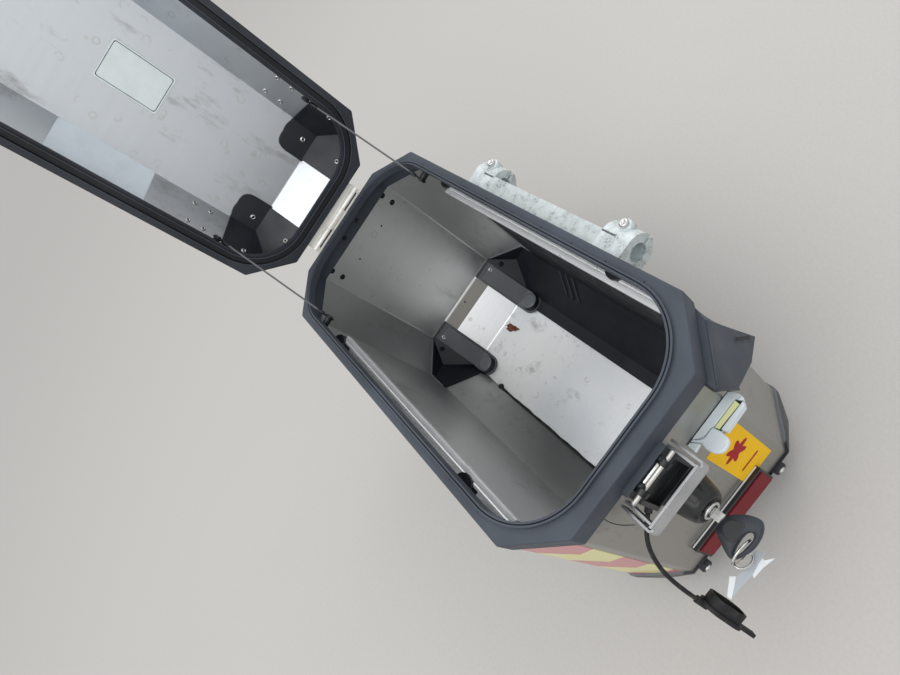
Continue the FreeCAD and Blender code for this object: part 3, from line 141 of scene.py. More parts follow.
def add_piece(name, shape, finish, body="case", smooth=True, node=None):
    """A shape as an object that rides on a body; node is the CAD node that it stands for."""
    points, faces = shape
    mesh = bpy.data.meshes.new(name)
    mesh.from_pydata(PLACES[body](points).tolist(), [], [list(face) for face in faces])
    mesh.validate()
    mesh.shade_smooth() if smooth else mesh.shade_flat()
    for one in [finish] if isinstance(finish, str) else finish:
        mesh.materials.append(bpy.data.materials[one])
    piece = bpy.data.objects.new(name, mesh)
    bpy.context.scene.collection.objects.link(piece)
    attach(piece, body)
    if node:
        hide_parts(node)
    return piece


def grid_faces(rows, columns, closed=False):
    """Quads between rings of points; closed joins the last ring to the first."""
    row, column = np.meshgrid(np.arange(rows if closed else rows - 1), np.arange(columns),
                              indexing="ij")
    beyond = (row + 1) % rows
    following = (column + 1) % columns
    quads = np.stack([row * columns + column, row * columns + following,
                      beyond * columns + following, beyond * columns + column], axis=-1)
    return [tuple(face) for face in quads.reshape(-1, 4)]


def end_faces(rows, columns):
    """The first ring and the last one as faces that look outward."""
    return [tuple(range(columns - 1, -1, -1)), tuple(range((rows - 1) * columns, rows * columns))]


def even_angles(count):
    return np.linspace(0, 2 * np.pi, count, endpoint=False)


def lathe(profile, count):
    """A profile of (radius, height) from the outside bottom up to the axis, turned round Z.

    Point (i, j) is (r_i cos a_j, r_i sin a_j, h_i); a radius of 0 at either end is one pole.
    """
    profile = np.asarray(profile, float)
    ring = profile[profile[:, 0] > 0]
    angle = even_angles(count)
    points = np.stack([
        ring[:, :1] * np.cos(angle),
        ring[:, :1] * np.sin(angle),
        np.repeat(ring[:, 1:], count, axis=1),
    ], axis=-1).reshape(-1, 3)
    faces = grid_faces(len(ring), count)
    step = np.arange(count)
    if profile[-1, 0] == 0:
        pole = len(points)
        points = np.vstack([points, [0, 0, profile[-1, 1]]])
        first = (len(ring) - 1) * count
        faces += [(first + a, first + (a + 1) % count, pole) for a in step]
    if profile[0, 0] == 0:
        pole = len(points)
        points = np.vstack([points, [0, 0, profile[0, 1]]])
        faces += [((a + 1) % count, a, pole) for a in step]
    return points, faces


def joined(*shapes):
    """Several shapes as one."""
    points = []
    faces = []
    for shape_points, shape_faces in shapes:
        first = sum(len(part) for part in points)
        points.append(shape_points)
        faces += [tuple(np.array(face) + first) for face in shape_faces]
    return np.vstack(points), faces


def copies(shape, spots, outward):
    """One shape repeated at spots, its Z turned to outward."""
    points, faces = shape
    up = unit(np.asarray(outward, float))
    side = unit(np.cross(up, [0.0, 0.0, 1.0] if abs(up[2]) < 0.9 else [0.0, 1.0, 0.0]))
    placed = points @ np.stack([side, np.cross(up, side), up])
    return joined(*[(placed + spot, faces) for spot in np.asarray(spots, float)])


def fitted(shape, *groups):
    """Copies of one shape on groups of seats, each group a pair of spots and the way they face."""
    return joined(*[copies(shape, spots, outward) for spots, outward in groups])


def mirrored(spots, outward, turns):
    """Seats, with the way they face, and their mirror images."""
    return [(np.multiply(spots, turn), np.multiply(outward, turn)) for turn in turns]


def rounded_rectangle(width, height, radius, steps=5):
    """An outline: four quarter circles joined by straight sides, anticlockwise."""
    turn = np.linspace(0, np.pi / 2, steps)
    parts = []
    for number, (sign_x, sign_y) in enumerate(((1, 1), (-1, 1), (-1, -1), (1, -1))):
        middle = np.array([sign_x * (width / 2 - radius), sign_y * (height / 2 - radius)])
        angle = turn + number * np.pi / 2
        parts.append(middle + radius * np.stack([np.cos(angle), np.sin(angle)], axis=-1))
    return np.vstack(parts)


def board(outline, thick, corner, along, across, soften=0.15):
    """A thin board with a softened upper edge: its outline, and on top the same, moved in.

    A point (p, q) of the outline becomes corner + p along + q across, and the board grows
    along their cross product.
    """
    outline = np.asarray(outline, float)
    middle = outline.mean(axis=0)
    reach = np.linalg.norm(outline - middle, axis=1, keepdims=True)
    inner = middle + (outline - middle) * (1 - soften / np.maximum(reach, 1.0))
    axes = np.stack([np.asarray(along, float), np.asarray(across, float)])
    normal = unit(np.cross(*axes))
    levels = ((outline, 0.0), (outline, thick - soften), (inner, thick))
    points = np.vstack([np.asarray(corner) + flat @ axes + normal * height
                        for flat, height in levels])
    size = len(levels), len(outline)
    return points, grid_faces(*size) + end_faces(*size)


def slab(outline, low, high, soften):
    """An outline in x and y, from one height up to another."""
    return board(anticlockwise(outline), high - low, (0, 0, low), X_AXIS, Y_AXIS, soften)


def box_shape(low, high, soften=0.25):
    """A box with softened upper edges, as a board on its lower face."""
    low = np.asarray(low, float)
    high = np.asarray(high, float)
    width, height, thick = high - low
    outline = rounded_rectangle(width, height, min(width, height) * 0.2, 3)
    corner = [(low[0] + high[0]) / 2, (low[1] + high[1]) / 2, low[2]]
    return board(outline, thick, corner, X_AXIS, Y_AXIS, soften)


def smooth_loop(points, steps):
    """A closed curve through points: on each stretch a cubic of its four nearest points."""
    here = np.asarray(points, float)
    before = np.roll(here, 1, axis=0)
    after = np.roll(here, -1, axis=0)
    later = np.roll(here, -2, axis=0)
    part = (np.arange(steps) / steps)[:, None, None]
    curve = 0.5 * (2 * here + (after - before) * part
                   + (2 * before - 5 * here + 4 * after - later) * part ** 2
                   + (3 * here - before - 3 * after + later) * part ** 3)
    return curve.transpose(1, 0, 2).reshape(-1, here.shape[1])


def smooth_line(points, steps):
    """The same curve, open, from the first point to the last."""
    before = 2 * np.array(points[0]) - points[1]
    beyond = 2 * np.array(points[-1]) - points[-2]
    return smooth_loop([before, *points, beyond], steps)[steps:len(points) * steps + 1]


def anticlockwise(outline):
    """The same outline, turned round if it runs clockwise."""
    outline = np.asarray(outline, float)
    following = np.roll(outline, -1, axis=0)
    area = (outline[:, 0] * following[:, 1] - following[:, 0] * outline[:, 1]).sum()
    return outline if area > 0 else outline[::-1]


def around(loop, middle, count):
    """A loop read at even angles about a middle that sees all of it."""
    away = np.asarray(loop, float) - middle
    angle = np.arctan2(away[:, 1], away[:, 0])
    reach = np.linalg.norm(away, axis=1)
    turn = np.linspace(-np.pi, np.pi, count, endpoint=False)
    order = np.argsort(angle)
    radius = np.interp(turn, angle[order], reach[order], period=2 * np.pi)
    return middle + radius[:, None] * np.stack([np.cos(turn), np.sin(turn)], axis=-1)


def holed_plate(outer, hole, low, high, soften):
    """A plate with a hole: eight loops run up the outside, over, down the hole and back under.

    Both loops have the same count and are read at the same angles about the hole's middle.
    """
    middle = hole.mean(axis=0)

    def moved(loop, by):
        away = loop - middle
        return middle + away * (1 + by / np.linalg.norm(away, axis=1, keepdims=True))

    levels = ((outer, low + soften), (outer, high - soften), (moved(outer, -soften), high),
              (moved(hole, soften), high), (hole, high - soften), (hole, low + soften),
              (moved(hole, soften), low), (moved(outer, -soften), low))
    points = np.vstack([np.column_stack([flat, np.full(len(flat), height)])
                        for flat, height in levels])
    return points, grid_faces(len(levels), len(outer), closed=True)


def mouth_path(inset, height):
    """The opening's outline, moved in from the collar's edge: a rectangle with round corners."""
    length = 2 * HALF_LONG - MOUTH_REAR - 2 * inset
    outline = rounded_rectangle(length, 2 * (HALF_WIDE - inset), MOUTH_ROUND - inset, MOUTH_STEPS)
    return np.column_stack([outline[:, 0] - MOUTH_REAR / 2, outline[:, 1],
                            np.full(len(outline), height)])


def hoop(x, middle, radius, count):
    """A circle that faces the rear: x stays, and (y, z) goes round the middle."""
    turn = even_angles(count)
    return np.stack([np.full(count, x), middle[0] + radius * np.cos(turn),
                     middle[1] + radius * np.sin(turn)], axis=-1)


def tube(path, radius, count=12, closed=False):
    """Circles of a radius, or of one radius per point, carried along a path.

    Each circle stands square to the path: its axes are the tangent's cross product with one
    fixed direction, and the tangent's cross product with that.
    """
    path = np.asarray(path, float)
    if closed:
        tangent = np.roll(path, -1, axis=0) - np.roll(path, 1, axis=0)
    else:
        tangent = np.gradient(path, axis=0)
    tangent = tangent / np.linalg.norm(tangent, axis=1, keepdims=True)
    fixed = np.eye(3)[int(np.argmin(np.abs(tangent).sum(axis=0)))]
    side = np.cross(tangent, fixed)
    side = side / np.linalg.norm(side, axis=1, keepdims=True)
    up = np.cross(side, tangent)
    angle = even_angles(count)[None, :, None]
    radius = np.broadcast_to(np.asarray(radius, float), (len(path),))[:, None, None]
    ring = side[:, None] * np.cos(angle) - up[:, None] * np.sin(angle)
    faces = grid_faces(len(path), count, closed)
    return ((path[:, None] + radius * ring).reshape(-1, 3),
            faces if closed else faces + end_faces(len(path), count))


# Finishes


def linear(value):
    """A hex colour, as the picture shows it, in linear light; a linear colour stays as it is."""
    if not isinstance(value, str):
        return tuple(value)
    parts = [int(value[index:index + 2], 16) / 255 for index in (0, 2, 4)]
    return tuple(part / 12.92 if part <= 0.04045 else ((part + 0.055) / 1.055) ** 2.4
                 for part in parts)


class Finish:
    """A material under construction: adds nodes, and feeds their sockets."""

    def __init__(self, name, metallic=0.0, roughness=0.5, **sockets):
        self.material = bpy.data.materials.new(name)
        self.material.use_nodes = True
        self.tree = self.material.node_tree
        self.shader = self.tree.nodes["Principled BSDF"]
        self.shader.inputs["Metallic"].default_value = metallic
        self.shader.inputs["Roughness"].default_value = roughness
        for key, value in sockets.items():
            self.shader.inputs[key.replace("_", " ")].default_value = value
        coordinates = self.add("ShaderNodeTexCoord")
        self.place = coordinates.outputs["Object"]
        self.normal = coordinates.outputs["Normal"]

    def feed(self, socket, value):
        if isinstance(value, bpy.types.NodeSocket):
            self.tree.links.new(value, socket)
        else:
            socket.default_value = value

    def add(self, kind, inputs=(), **settings):
        node = self.tree.nodes.new(kind)
        for key, value in settings.items():
            setattr(node, key, value)
        for key, value in dict(inputs).items():
            self.feed(node.inputs[key], value)
        return node

    def stretched(self, scale, turn=(0.0, 0.0, 0.0)):
        """Object coordinates with a scale along each axis."""
        return self.add("ShaderNodeMapping", {"Vector": self.place, "Scale": scale,
                                              "Rotation": turn}).outputs["Vector"]

    def noise(self, scale, detail=3.0, place=None, rough=0.5):
        return self.add("ShaderNodeTexNoise", {
            "Vector": place or self.place, "Scale": scale, "Detail": detail,
            "Roughness": rough}).outputs["Fac"]

    def cells(self, scale, place=None, randomness=1.0, **settings):
        return self.add("ShaderNodeTexVoronoi", {
            "Vector": place or self.place, "Scale": scale, "Randomness": randomness},
            **settings).outputs["Distance"]

    def part(self, vector, axis):
        return self.add("ShaderNodeSeparateXYZ", {0: vector}).outputs[axis]

    def from_middle(self, axis):
        """How far a point lies from the case's middle along an axis, in metres."""
        middle = in_case((0, 0, 0))[axis]
        return self.maths("ABSOLUTE", self.maths("SUBTRACT", self.part(self.place, axis), middle))

    def outside(self, middle):
        """1 on the faces of a shell that look away from its middle, 0 on its inside."""
        away = self.add("ShaderNodeVectorMath", {0: self.place, 1: tuple(middle)},
                        operation="SUBTRACT").outputs["Vector"]
        facing = self.add("ShaderNodeVectorMath", {0: away, 1: self.normal},
                          operation="DOT_PRODUCT").outputs["Value"]
        return self.band(facing, -0.001, 0.001)

    def band(self, value, low, high, bottom=0.0, top=1.0):
        """A value's stretch from low to high, spread over bottom to top and held there."""
        return self.add("ShaderNodeMapRange", {0: value, 1: low, 2: high, 3: bottom, 4: top},
                        clamp=True).outputs[0]

    def maths(self, operation, first, second=0.0):
        return self.add("ShaderNodeMath", {0: first, 1: second}, operation=operation).outputs[0]

    def times(self, first, second):
        return self.maths("MULTIPLY", first, second)

    def blend(self, factor, first, second, mode="MIX"):
        values = [value if isinstance(value, bpy.types.NodeSocket) else (*linear(value), 1.0)
                  for value in (first, second)]
        return self.add("ShaderNodeMix", {0: factor, 6: values[0], 7: values[1]},
                        data_type="RGBA", blend_type=mode).outputs[2]

    def darkened_where(self, where, tone, colour):
        """The tone, multiplied by a colour where the factor is 1."""
        return self.blend(where, tone, self.blend(1.0, tone, colour, "MULTIPLY"))

    def colour(self, value):
        self.feed(self.shader.inputs["Base Color"], value)

    def rough(self, value):
        self.feed(self.shader.inputs["Roughness"], value)

    def relief(self, height, strength, distance, edge=0.0):
        """Bump from a height; edge also rounds the sharp edges of the solid by that much."""
        bump = self.add("ShaderNodeBump", {"Height": height, "Strength": strength,
                                           "Distance": distance})
        if edge > 0:
            soft = self.add("ShaderNodeBevel", {"Radius": edge}, samples=6)
            self.feed(bump.inputs["Normal"], soft.outputs["Normal"])
        self.feed(self.shader.inputs["Normal"], bump.outputs["Normal"])


# The reach of the painted sheen inside the case, in metres: from the middle to the end walls,
# between the inner sides of the foot ribs, and the height below which it lies
SHEEN_END = 0.233
SHEEN_RIB = 0.0665
SHEEN_TOP = -0.170


def moulded(name, dark, light, grain=900.0, roughness=0.55, dust=0.25, sheen=0.4, painted_sheen=None):
    """Moulded plastic: fine grain, a slow change of tone, pale dust and rubbed patches.

    The last argument is a lighter colour painted on faces that look straight up inside the case,
    and thinner on the sloping ribs: a painted reflection of the sky.
    """
    finish = Finish(name, roughness=roughness, Specular_IOR_Level=sheen)
    tone = finish.blend(finish.band(finish.noise(14.0, 4.0), 0.35, 0.65), dark, light)
    # Painted sheen: faces that look up, low inside the case, turn lighter as a reflection of the
    # sky.
    if painted_sheen:
        up = finish.part(finish.normal, 2)
        inside = finish.times(
            finish.band(finish.from_middle(0), SHEEN_END, SHEEN_END - 0.002),
            finish.band(finish.part(finish.place, 2), SHEEN_TOP, SHEEN_TOP - 0.005))
        rib = finish.times(finish.band(finish.from_middle(1), SHEEN_RIB, SHEEN_RIB - 0.001),
                           finish.band(up, 0.55, 0.65, 0.0, 0.55))
        level = finish.maths("MAXIMUM", finish.band(up, 0.75, 0.88), rib)
        tone = finish.blend(finish.times(level, inside), tone, painted_sheen)
    where = finish.noise(35.0, 3.0)
    specks = finish.band(finish.noise(1500.0, 2.0), 0.66, 0.72)
    dusty = finish.times(finish.times(specks, finish.band(where, 0.45, 0.7)), dust)
    finish.colour(finish.blend(dusty, tone, "A9A69E"))
    finish.rough(finish.band(where, 0.3, 0.7, roughness - 0.07, roughness + 0.12))
    finish.relief(finish.noise(grain, 2.0), 0.22, 0.0002, 0.0005)


def satin_sheet(name, base, pale, roughness, grain, stain, skin=None, metallic=1.0, slope_darkening=None):
    """Rolled aluminium: fine streaks along the grain, slow clouds, dried drops and scratches.

    skin is (the shell's middle, a colour its outside is multiplied by), as painted shade outside.
    The last argument is (a height, a side, a colour) that makes the end slopes darker: below that
    height, and no farther than that side from the middle line.
    """
    finish = Finish(name, metallic=metallic, roughness=roughness)
    streak = finish.noise(1.0, 2.0, finish.stretched(grain), 0.6)
    cloud = finish.noise(9.0, 5.0, None, 0.6)
    tone = finish.blend(finish.band(cloud, 0.32, 0.68), base, pale)
    tone = finish.blend(finish.band(streak, 0.35, 0.65, 0.0, 0.35), tone, pale)
    drops = finish.cells(55.0, feature="F1")
    ring = finish.times(finish.band(drops, 0.16, 0.2), finish.band(drops, 0.3, 0.24))
    marks = finish.times(ring, finish.band(finish.noise(70.0, 3.0), 0.5, 0.62, 0.0, stain))
    tone = finish.blend(marks, tone, "B9B7B0")
    smear = finish.noise(22.0, 6.0, finish.stretched((1.0, 1.4, 0.5), (0.3, 0.2, 0.7)), 0.7)
    dirt = finish.band(smear, 0.58, 0.75, 0.0, stain)
    tone = finish.blend(dirt, tone, "6F6A61")
    # Painted shade: the shell's outside is multiplied darker than its inside.
    if skin:
        tone = finish.darkened_where(finish.outside(skin[0]), tone, skin[1])
    # The end slopes turn darker below a height and near the middle line.
    if slope_darkening:
        where = finish.times(
            finish.band(finish.part(finish.place, 2), slope_darkening[0], slope_darkening[0] - 0.002),
            finish.band(finish.from_middle(1), slope_darkening[1] + 0.002, slope_darkening[1]))
        tone = finish.darkened_where(where, tone, slope_darkening[2])
    finish.colour(tone)
    scratches = finish.maths("MAXIMUM", *[
        finish.band(finish.noise(1.0, 1.0, finish.stretched(scale, turn)), 0.72, 0.76)
        for scale, turn in (((25.0, 1400.0, 25.0), (0.5, 0.4, 0.9)),
                            ((900.0, 18.0, 18.0), (0.1, 0.9, 0.3)))])
    base_rough = finish.band(cloud, 0.3, 0.7, roughness - 0.06, roughness + 0.08)
    finish.rough(finish.maths("ADD", base_rough, finish.times(dirt, 0.25)))
    height = finish.maths("SUBTRACT", finish.times(streak, 0.4), scratches)
    finish.relief(height, 0.12, 0.0002, 0.0004)


def plated(name, base, roughness, wear, metallic=1.0):
    """Plated or cast metal: slow change of tone, small pits and rubbed bright spots."""
    finish = Finish(name, metallic=metallic, roughness=roughness)
    cloud = finish.noise(60.0, 4.0)
    dull = tuple(part * (1 - wear) for part in linear(base))
    finish.colour(finish.blend(finish.band(cloud, 0.35, 0.7), base, dull))
    finish.rough(finish.band(cloud, 0.3, 0.7, roughness - 0.05, roughness + 0.15))
    finish.relief(finish.noise(1100.0, 2.0), 0.1, 0.0002, 0.0004)


def mottled_cast(name, base, dark):
    """A galvanised casting: pale, with small darker flecks and a rough skin."""
    finish = Finish(name, metallic=0.35, roughness=0.6)
    fleck = finish.cells(420.0)
    cloud = finish.noise(90.0, 5.0, None, 0.65)
    dull = tuple(part * 0.72 for part in linear(base))
    tone = finish.blend(finish.band(cloud, 0.35, 0.65), base, dull)
    spots = finish.times(finish.band(fleck, 0.45, 0.3), finish.band(cloud, 0.48, 0.6))
    finish.colour(finish.blend(finish.times(spots, 0.65), tone, dark))
    finish.relief(finish.noise(500.0, 4.0), 0.35, 0.0004, 0.0008)


def printed(name, base, roughness=0.5, soil=0.12, sheen=0.5):
    """Printed film: an even colour with faint soiling."""
    finish = Finish(name, roughness=roughness, Specular_IOR_Level=sheen)
    cloud = finish.noise(45.0, 5.0, None, 0.7)
    finish.colour(finish.blend(finish.band(cloud, 0.45, 0.75, 0.0, soil), base, "8B8578"))
    finish.rough(finish.band(cloud, 0.3, 0.7, roughness - 0.05, roughness + 0.1))
    finish.relief(finish.noise(700.0, 2.0), 0.04, 0.0001)


def rubber(name, base, roughness):
    """Soft rubber: dull, a little dusty in patches."""
    finish = Finish(name, roughness=roughness, Specular_IOR_Level=0.35)
    cloud = finish.noise(120.0, 4.0)
    finish.colour(finish.blend(finish.band(cloud, 0.5, 0.8, 0.0, 0.25), base, "77746D"))
    finish.relief(finish.noise(1300.0, 2.0), 0.15, 0.0002, 0.0003)


def prismatic(name, base, deep):
    """A red lens: a lattice of small prisms under a clear skin."""
    finish = Finish(name, roughness=0.4, Specular_IOR_Level=0.1)
    lattice = finish.cells(420.0, randomness=0.0, distance="CHEBYCHEV")
    finish.colour(finish.blend(finish.band(lattice, 0.1, 0.6), base, deep))
    finish.relief(lattice, 0.4, 0.0005)


BAND_START = 27.0
RULE_PITCH = 6.5


def hazard_film(name, red, yellow, pitch):
    """Pointed bands of two colours under fine rules: both are set by V - |U|, in the film's own
    millimetres."""
    finish = Finish(name, roughness=0.35, Coat_Weight=0.6, Coat_Roughness=0.1)
    flat = finish.add("ShaderNodeUVMap", uv_map="film").outputs["UV"]
    point = finish.maths("SUBTRACT", finish.part(flat, 1),
                         finish.maths("ABSOLUTE", finish.part(flat, 0)))
    step = finish.maths("DIVIDE", finish.maths("ADD", point, BAND_START), pitch)
    stripe = finish.band(finish.maths("FRACT", step), 0.495, 0.505)
    fine = finish.maths("FRACT", finish.maths("DIVIDE", point, RULE_PITCH))
    rule = finish.times(finish.band(fine, 0.84, 0.88), finish.band(stripe, 0.6, 0.4, 0.0, 0.22))
    cell = finish.cells(0.45, flat, 0.0, voronoi_dimensions="2D")
    tone = finish.blend(rule, finish.blend(stripe, yellow, red), "8E8A58")
    finish.colour(finish.blend(finish.band(cell, 0.2, 0.7, 0.0, 0.12), tone, (0.9, 0.9, 0.9)))
    finish.relief(cell, 0.2, 0.0001)


def rusted(name, dark, light):
    """Rust: blotches of two browns and a rough skin."""
    finish = Finish(name, roughness=0.9)
    finish.colour(finish.blend(finish.band(finish.noise(260.0, 4.0), 0.35, 0.65), dark, light))
    finish.relief(finish.noise(900.0, 4.0), 0.5, 0.0003)


def pale_ground(name, dark, light):
    """The stage's floor: two near greys."""
    finish = Finish(name, roughness=0.85)
    finish.colour(finish.blend(finish.noise(300.0, 3.0), dark, light))


def tinted(colour, factor):
    """A colour with its parts multiplied, and none above what bright metal reflects."""
    return tuple(np.minimum(np.multiply(colour, factor), 0.9))


def paint(nodes, finish):
    """Give a CAD node's own slots a finish."""
    for name in nodes:
        slots = frame["nodes"][name].data.materials
        slots.clear()
        slots.append(bpy.data.materials[finish])


# What a user would change


def colour_choice(name, description, default):
    return bpy.props.FloatVectorProperty(name=name, description=description, subtype="COLOR",
                                         default=linear(default))


def size_choice(name, description, default, least):
    return bpy.props.FloatProperty(name=name, description=description, default=default, min=least)


class CaseColours(bpy.types.PropertyGroup):
    slate: colour_choice("Collar", "Moulded collar and rear cover", "434A54")
    sheet: colour_choice("Sheet", "Satin aluminium of the walls", "D2D3D2")
    # The floor plate's colour is brighter and bluer than the walls': painted light from the sky.
    floor: colour_choice("Floor plate", "Brighter aluminium of the floor", "E4E8EC")
    film_yellow: colour_choice("Sticker", "Yellow film on the rear wall", "FAC60F")
    film_red: colour_choice("Emblem", "Red emblem on the sticker", "A8202C")


class CaseSizes(bpy.types.PropertyGroup):
    stripe_pitch: size_choice("Stripe pitch", "One red and one yellow band, in millimetres",
                              103.0, 5.0)
    rivet: size_choice("Rivet head", "Radius of a rivet head in millimetres", 3.0, 0.5)
    screw: size_choice("Screw head", "Radius of a screw head in millimetres", 3.6, 0.5)
    camera_lens: size_choice("Lens", "Focal length on a 36 mm wide sensor", 25.566, 1.0)


# Stage

EYE = (0.43842, -0.09158, 0.44032)
EYE_AXES = (
    (0.53029251, -0.45723669, 0.7139499),
    (0.56727734, 0.81718544, 0.1020019),
    (-0.63006847, 0.35091676, 0.69272733),
)
AIM = (0.0, -0.1, 0.0)
FLOOR_HALF = 14.0


def seen_white(tree, lit, strength):
    """A strength that is 1 for camera, glossy and transmitted rays and the given one otherwise."""
    path = tree.nodes.new("ShaderNodeLightPath")
    total = path.outputs["Is Camera Ray"]
    for ray in ("Is Glossy Ray", "Is Transmission Ray"):
        most = tree.nodes.new("ShaderNodeMath")
        most.operation = "MAXIMUM"
        tree.links.new(total, most.inputs[0])
        tree.links.new(path.outputs[ray], most.inputs[1])
        total = most.outputs[0]
    spread = tree.nodes.new("ShaderNodeMapRange")
    spread.inputs[3].default_value = lit
    spread.inputs[4].default_value = strength
    tree.links.new(total, spread.inputs[0])
    return spread.outputs[0]


def area_light(name, place, size, power):
    """A round soft lamp that looks at the case."""
    light = bpy.data.lights.new(name, "AREA")
    light.shape = "DISK"
    light.size = size
    light.energy = power
    lamp = bpy.data.objects.new(name, light)
    away = unit(np.subtract(place, AIM))
    side = unit(np.cross(Y_AXIS, away))
    turn = Matrix(np.stack([side, np.cross(away, side), away], axis=1).tolist()).to_4x4()
    turn.translation = place
    lamp.matrix_world = turn
    bpy.context.scene.collection.objects.link(lamp)


class SIDECASE_OT_stage(bpy.types.Operator):
    """Add the camera, the soft lamps, the world and the pale floor."""
    bl_idname = "sidecase.stage"
    bl_label = "Stage"

    def execute(self, context):
        scene = context.scene
        lens = bpy.data.cameras.new("viewer")
        lens.sensor_width = 36.0
        lens.lens = scene.case_sizes.camera_lens
        lens.clip_start = 0.01
        camera = bpy.data.objects.new("viewer", lens)
        turn = Matrix(EYE_AXES).to_4x4()
        turn.translation = EYE
        camera.matrix_world = turn
        scene.collection.objects.link(camera)
        scene.camera = camera

        world = bpy.data.worlds.new("studio")
        world.use_nodes = True
        backdrop = world.node_tree.nodes["Background"]
        backdrop.inputs["Color"].default_value = (1.0, 1.0, 1.0, 1.0)
        world.node_tree.links.new(seen_white(world.node_tree, 0.85, 1.0),
                                  backdrop.inputs["Strength"])
        scene.world = world

        area_light("high", (0.3, -0.7, 1.7), 1.8, 12.5)
        area_light("side", (-0.6, 1.1, 1.2), 1.0, 6.0)

        mesh = bpy.data.meshes.new("floor")
        corners = [(x * FLOOR_HALF, y * FLOOR_HALF, FLOOR_Z)
                   for x, y in ((-1, -1), (1, -1), (1, 1), (-1, 1))]
        mesh.from_pydata(corners, [], [(0, 1, 2, 3)])
        ground = bpy.data.objects.new("floor", mesh)
        pale_ground("pale_floor", "BBB9B6", "C7C5C2")
        ground.data.materials.append(bpy.data.materials["pale_floor"])
        scene.collection.objects.link(ground)
        scene.view_settings.view_transform = "Standard"
        return {"FINISHED"}


# Finishes of the CAD nodes, and of the small parts, which paint no node

SLATE_NODES = ("collar", "corner_cover")
CORNER_NODES = (
    "corner_rear_inner", "corner_rear_outer", "corner_front_inner", "corner_front_outer",
    "lid_corner_rear_outer", "lid_corner_rear_inner", "lid_corner_front_outer",
    "lid_corner_front_inner",
)
BLACK_NODES = (
    "latch_base", "lock_housing", "reflector_holder", "rail_clip_inner_front",
    "rail_clip_inner_rear", "rail_clip_outer_front", "rail_clip_outer_rear",
    "lanyard_stud_case_inner", "lanyard_stud_case_outer", "lanyard_stud_lid_inner",
    "lanyard_stud_lid_outer",
)
STEEL_NODES = ("hinge_leaf_case", "hinge_leaf_lid", "hinge_pin", "latch_pin", "lid_catch")

# Nodes, kind, name, and what the kind's function takes after the name
FINISHES = (
    (["lid_frame"], moulded, "dark_moulding", "23272E", "30353D", 900.0, 0.5, 0.15),
    # corner_moulding's last value is its painted sheen on up-facing faces inside the case.
    (CORNER_NODES, moulded, "corner_moulding", "10141C", "1A2029", 700.0, 0.36, 0.2, 0.5, "6B7076"),
    (["back_panel"], moulded, "black_panel", "14161C", "1E2128", 900.0, 0.5, 0.1),
    (BLACK_NODES, moulded, "black_moulding", "0F1114", "1A1D21", 900.0, 0.36, 0.12, 0.5),
    (["key_head"], moulded, "key_moulding", "23262C", "343941", 600.0, 0.42, 0.1),
    (["tie_rail_inner", "tie_rail_outer"], plated, "bright_rail", "EEF0F1", 0.3, 0.06, 0.6),
    (STEEL_NODES, plated, "zinc_plate", "E6E4DF", 0.42, 0.16, 0.5),
    (["latch_bail"], plated, "bright_plate", "C0C2C6", 0.26, 0.2),
    (["lock_barrel", "key_blade", "key_ring"], plated, "bright_steel", "D5D5D3", 0.2, 0.15),
    (["release_lever"], plated, "zinc_casting", "DFEAF0", 0.42, 0.08, 0.15),
    (["mount_bar"], mottled_cast, "mottled_bar", "D3DBDC", "6E7270"),
    (["rack_clamp_front", "rack_clamp_rear"], mottled_cast, "mottled_clamp", "DFE8EA", "767A78"),
    (["keyhole_cap", "cap_tether"], rubber, "soft_rubber", "1A1B1D", 0.62),
    (["lid_seal"], moulded, "seal_black", "0E1116", "171B21", 900.0, 0.6, 0.05),
    (["reflector_lens"], prismatic, "red_prisms", "8A1A26", "66111C"),
    (["key_tag"], printed, "clear_tag", "E2E8EC", 0.3, 0.05),
    (["lanyard_inner", "lanyard_outer"], rubber, "wire_sleeve", "5C5F62", 0.35),
    ([], plated, "rivet_bright", "C8C9C8", 0.28, 0.2),
    # Near-black for painted shade in hollows, sockets, pits, gaps, slots and grooves, and for the
    # dark curved line on the rear wall.
    ([], moulded, "fastener_dark", "0C0D0F", "15171A", 900.0, 0.55, 0.0),
    ([], plated, "screw_black", "3A3D40", 0.35, 0.3),
    ([], plated, "screw_bright", "D2D3D2", 0.24, 0.15),
    ([], moulded, "drum_black", "08090B", "111316", 800.0, 0.3, 0.06, 0.5),
    ([], printed, "edge_white", "E4E6E6", 0.3, 0.0),
    ([], printed, "label_cream", "E3E7AC", 0.5, 0.05),
    # A darker copy of the clear tag: painted shade under its folds.
    ([], printed, "tag_shade", "AEB4BC", 0.35, 0.1),
    ([], printed, "label_white", "E6F0F3"),
    ([], printed, "label_ink", "26282B", 0.5, 0.0),
    ([], printed, "label_silver", "E8F4FC", 0.35),
    ([], rubber, "sealant", "141517", 0.5),
    ([], rusted, "rust_mark", "6B3A2B", "8F5B45"),
)
CASE_HEART = (0.0, 0.0, -100.0)
LID_HEART = (0.0, 0.0, 5.0)
# How far from the middle line, and by what colour, the end slopes are darkened.
SLOPE_DARK_SIDE = 0.066
SLOPE_DARK_TONE = (0.3, 0.285, 0.265)
# What the outsides of the case and lid shells are multiplied by: painted shade.
CASE_OUTSIDE_SHADE = (0.5, 0.485, 0.46)
LID_OUTSIDE_SHADE = (0.62, 0.61, 0.59)


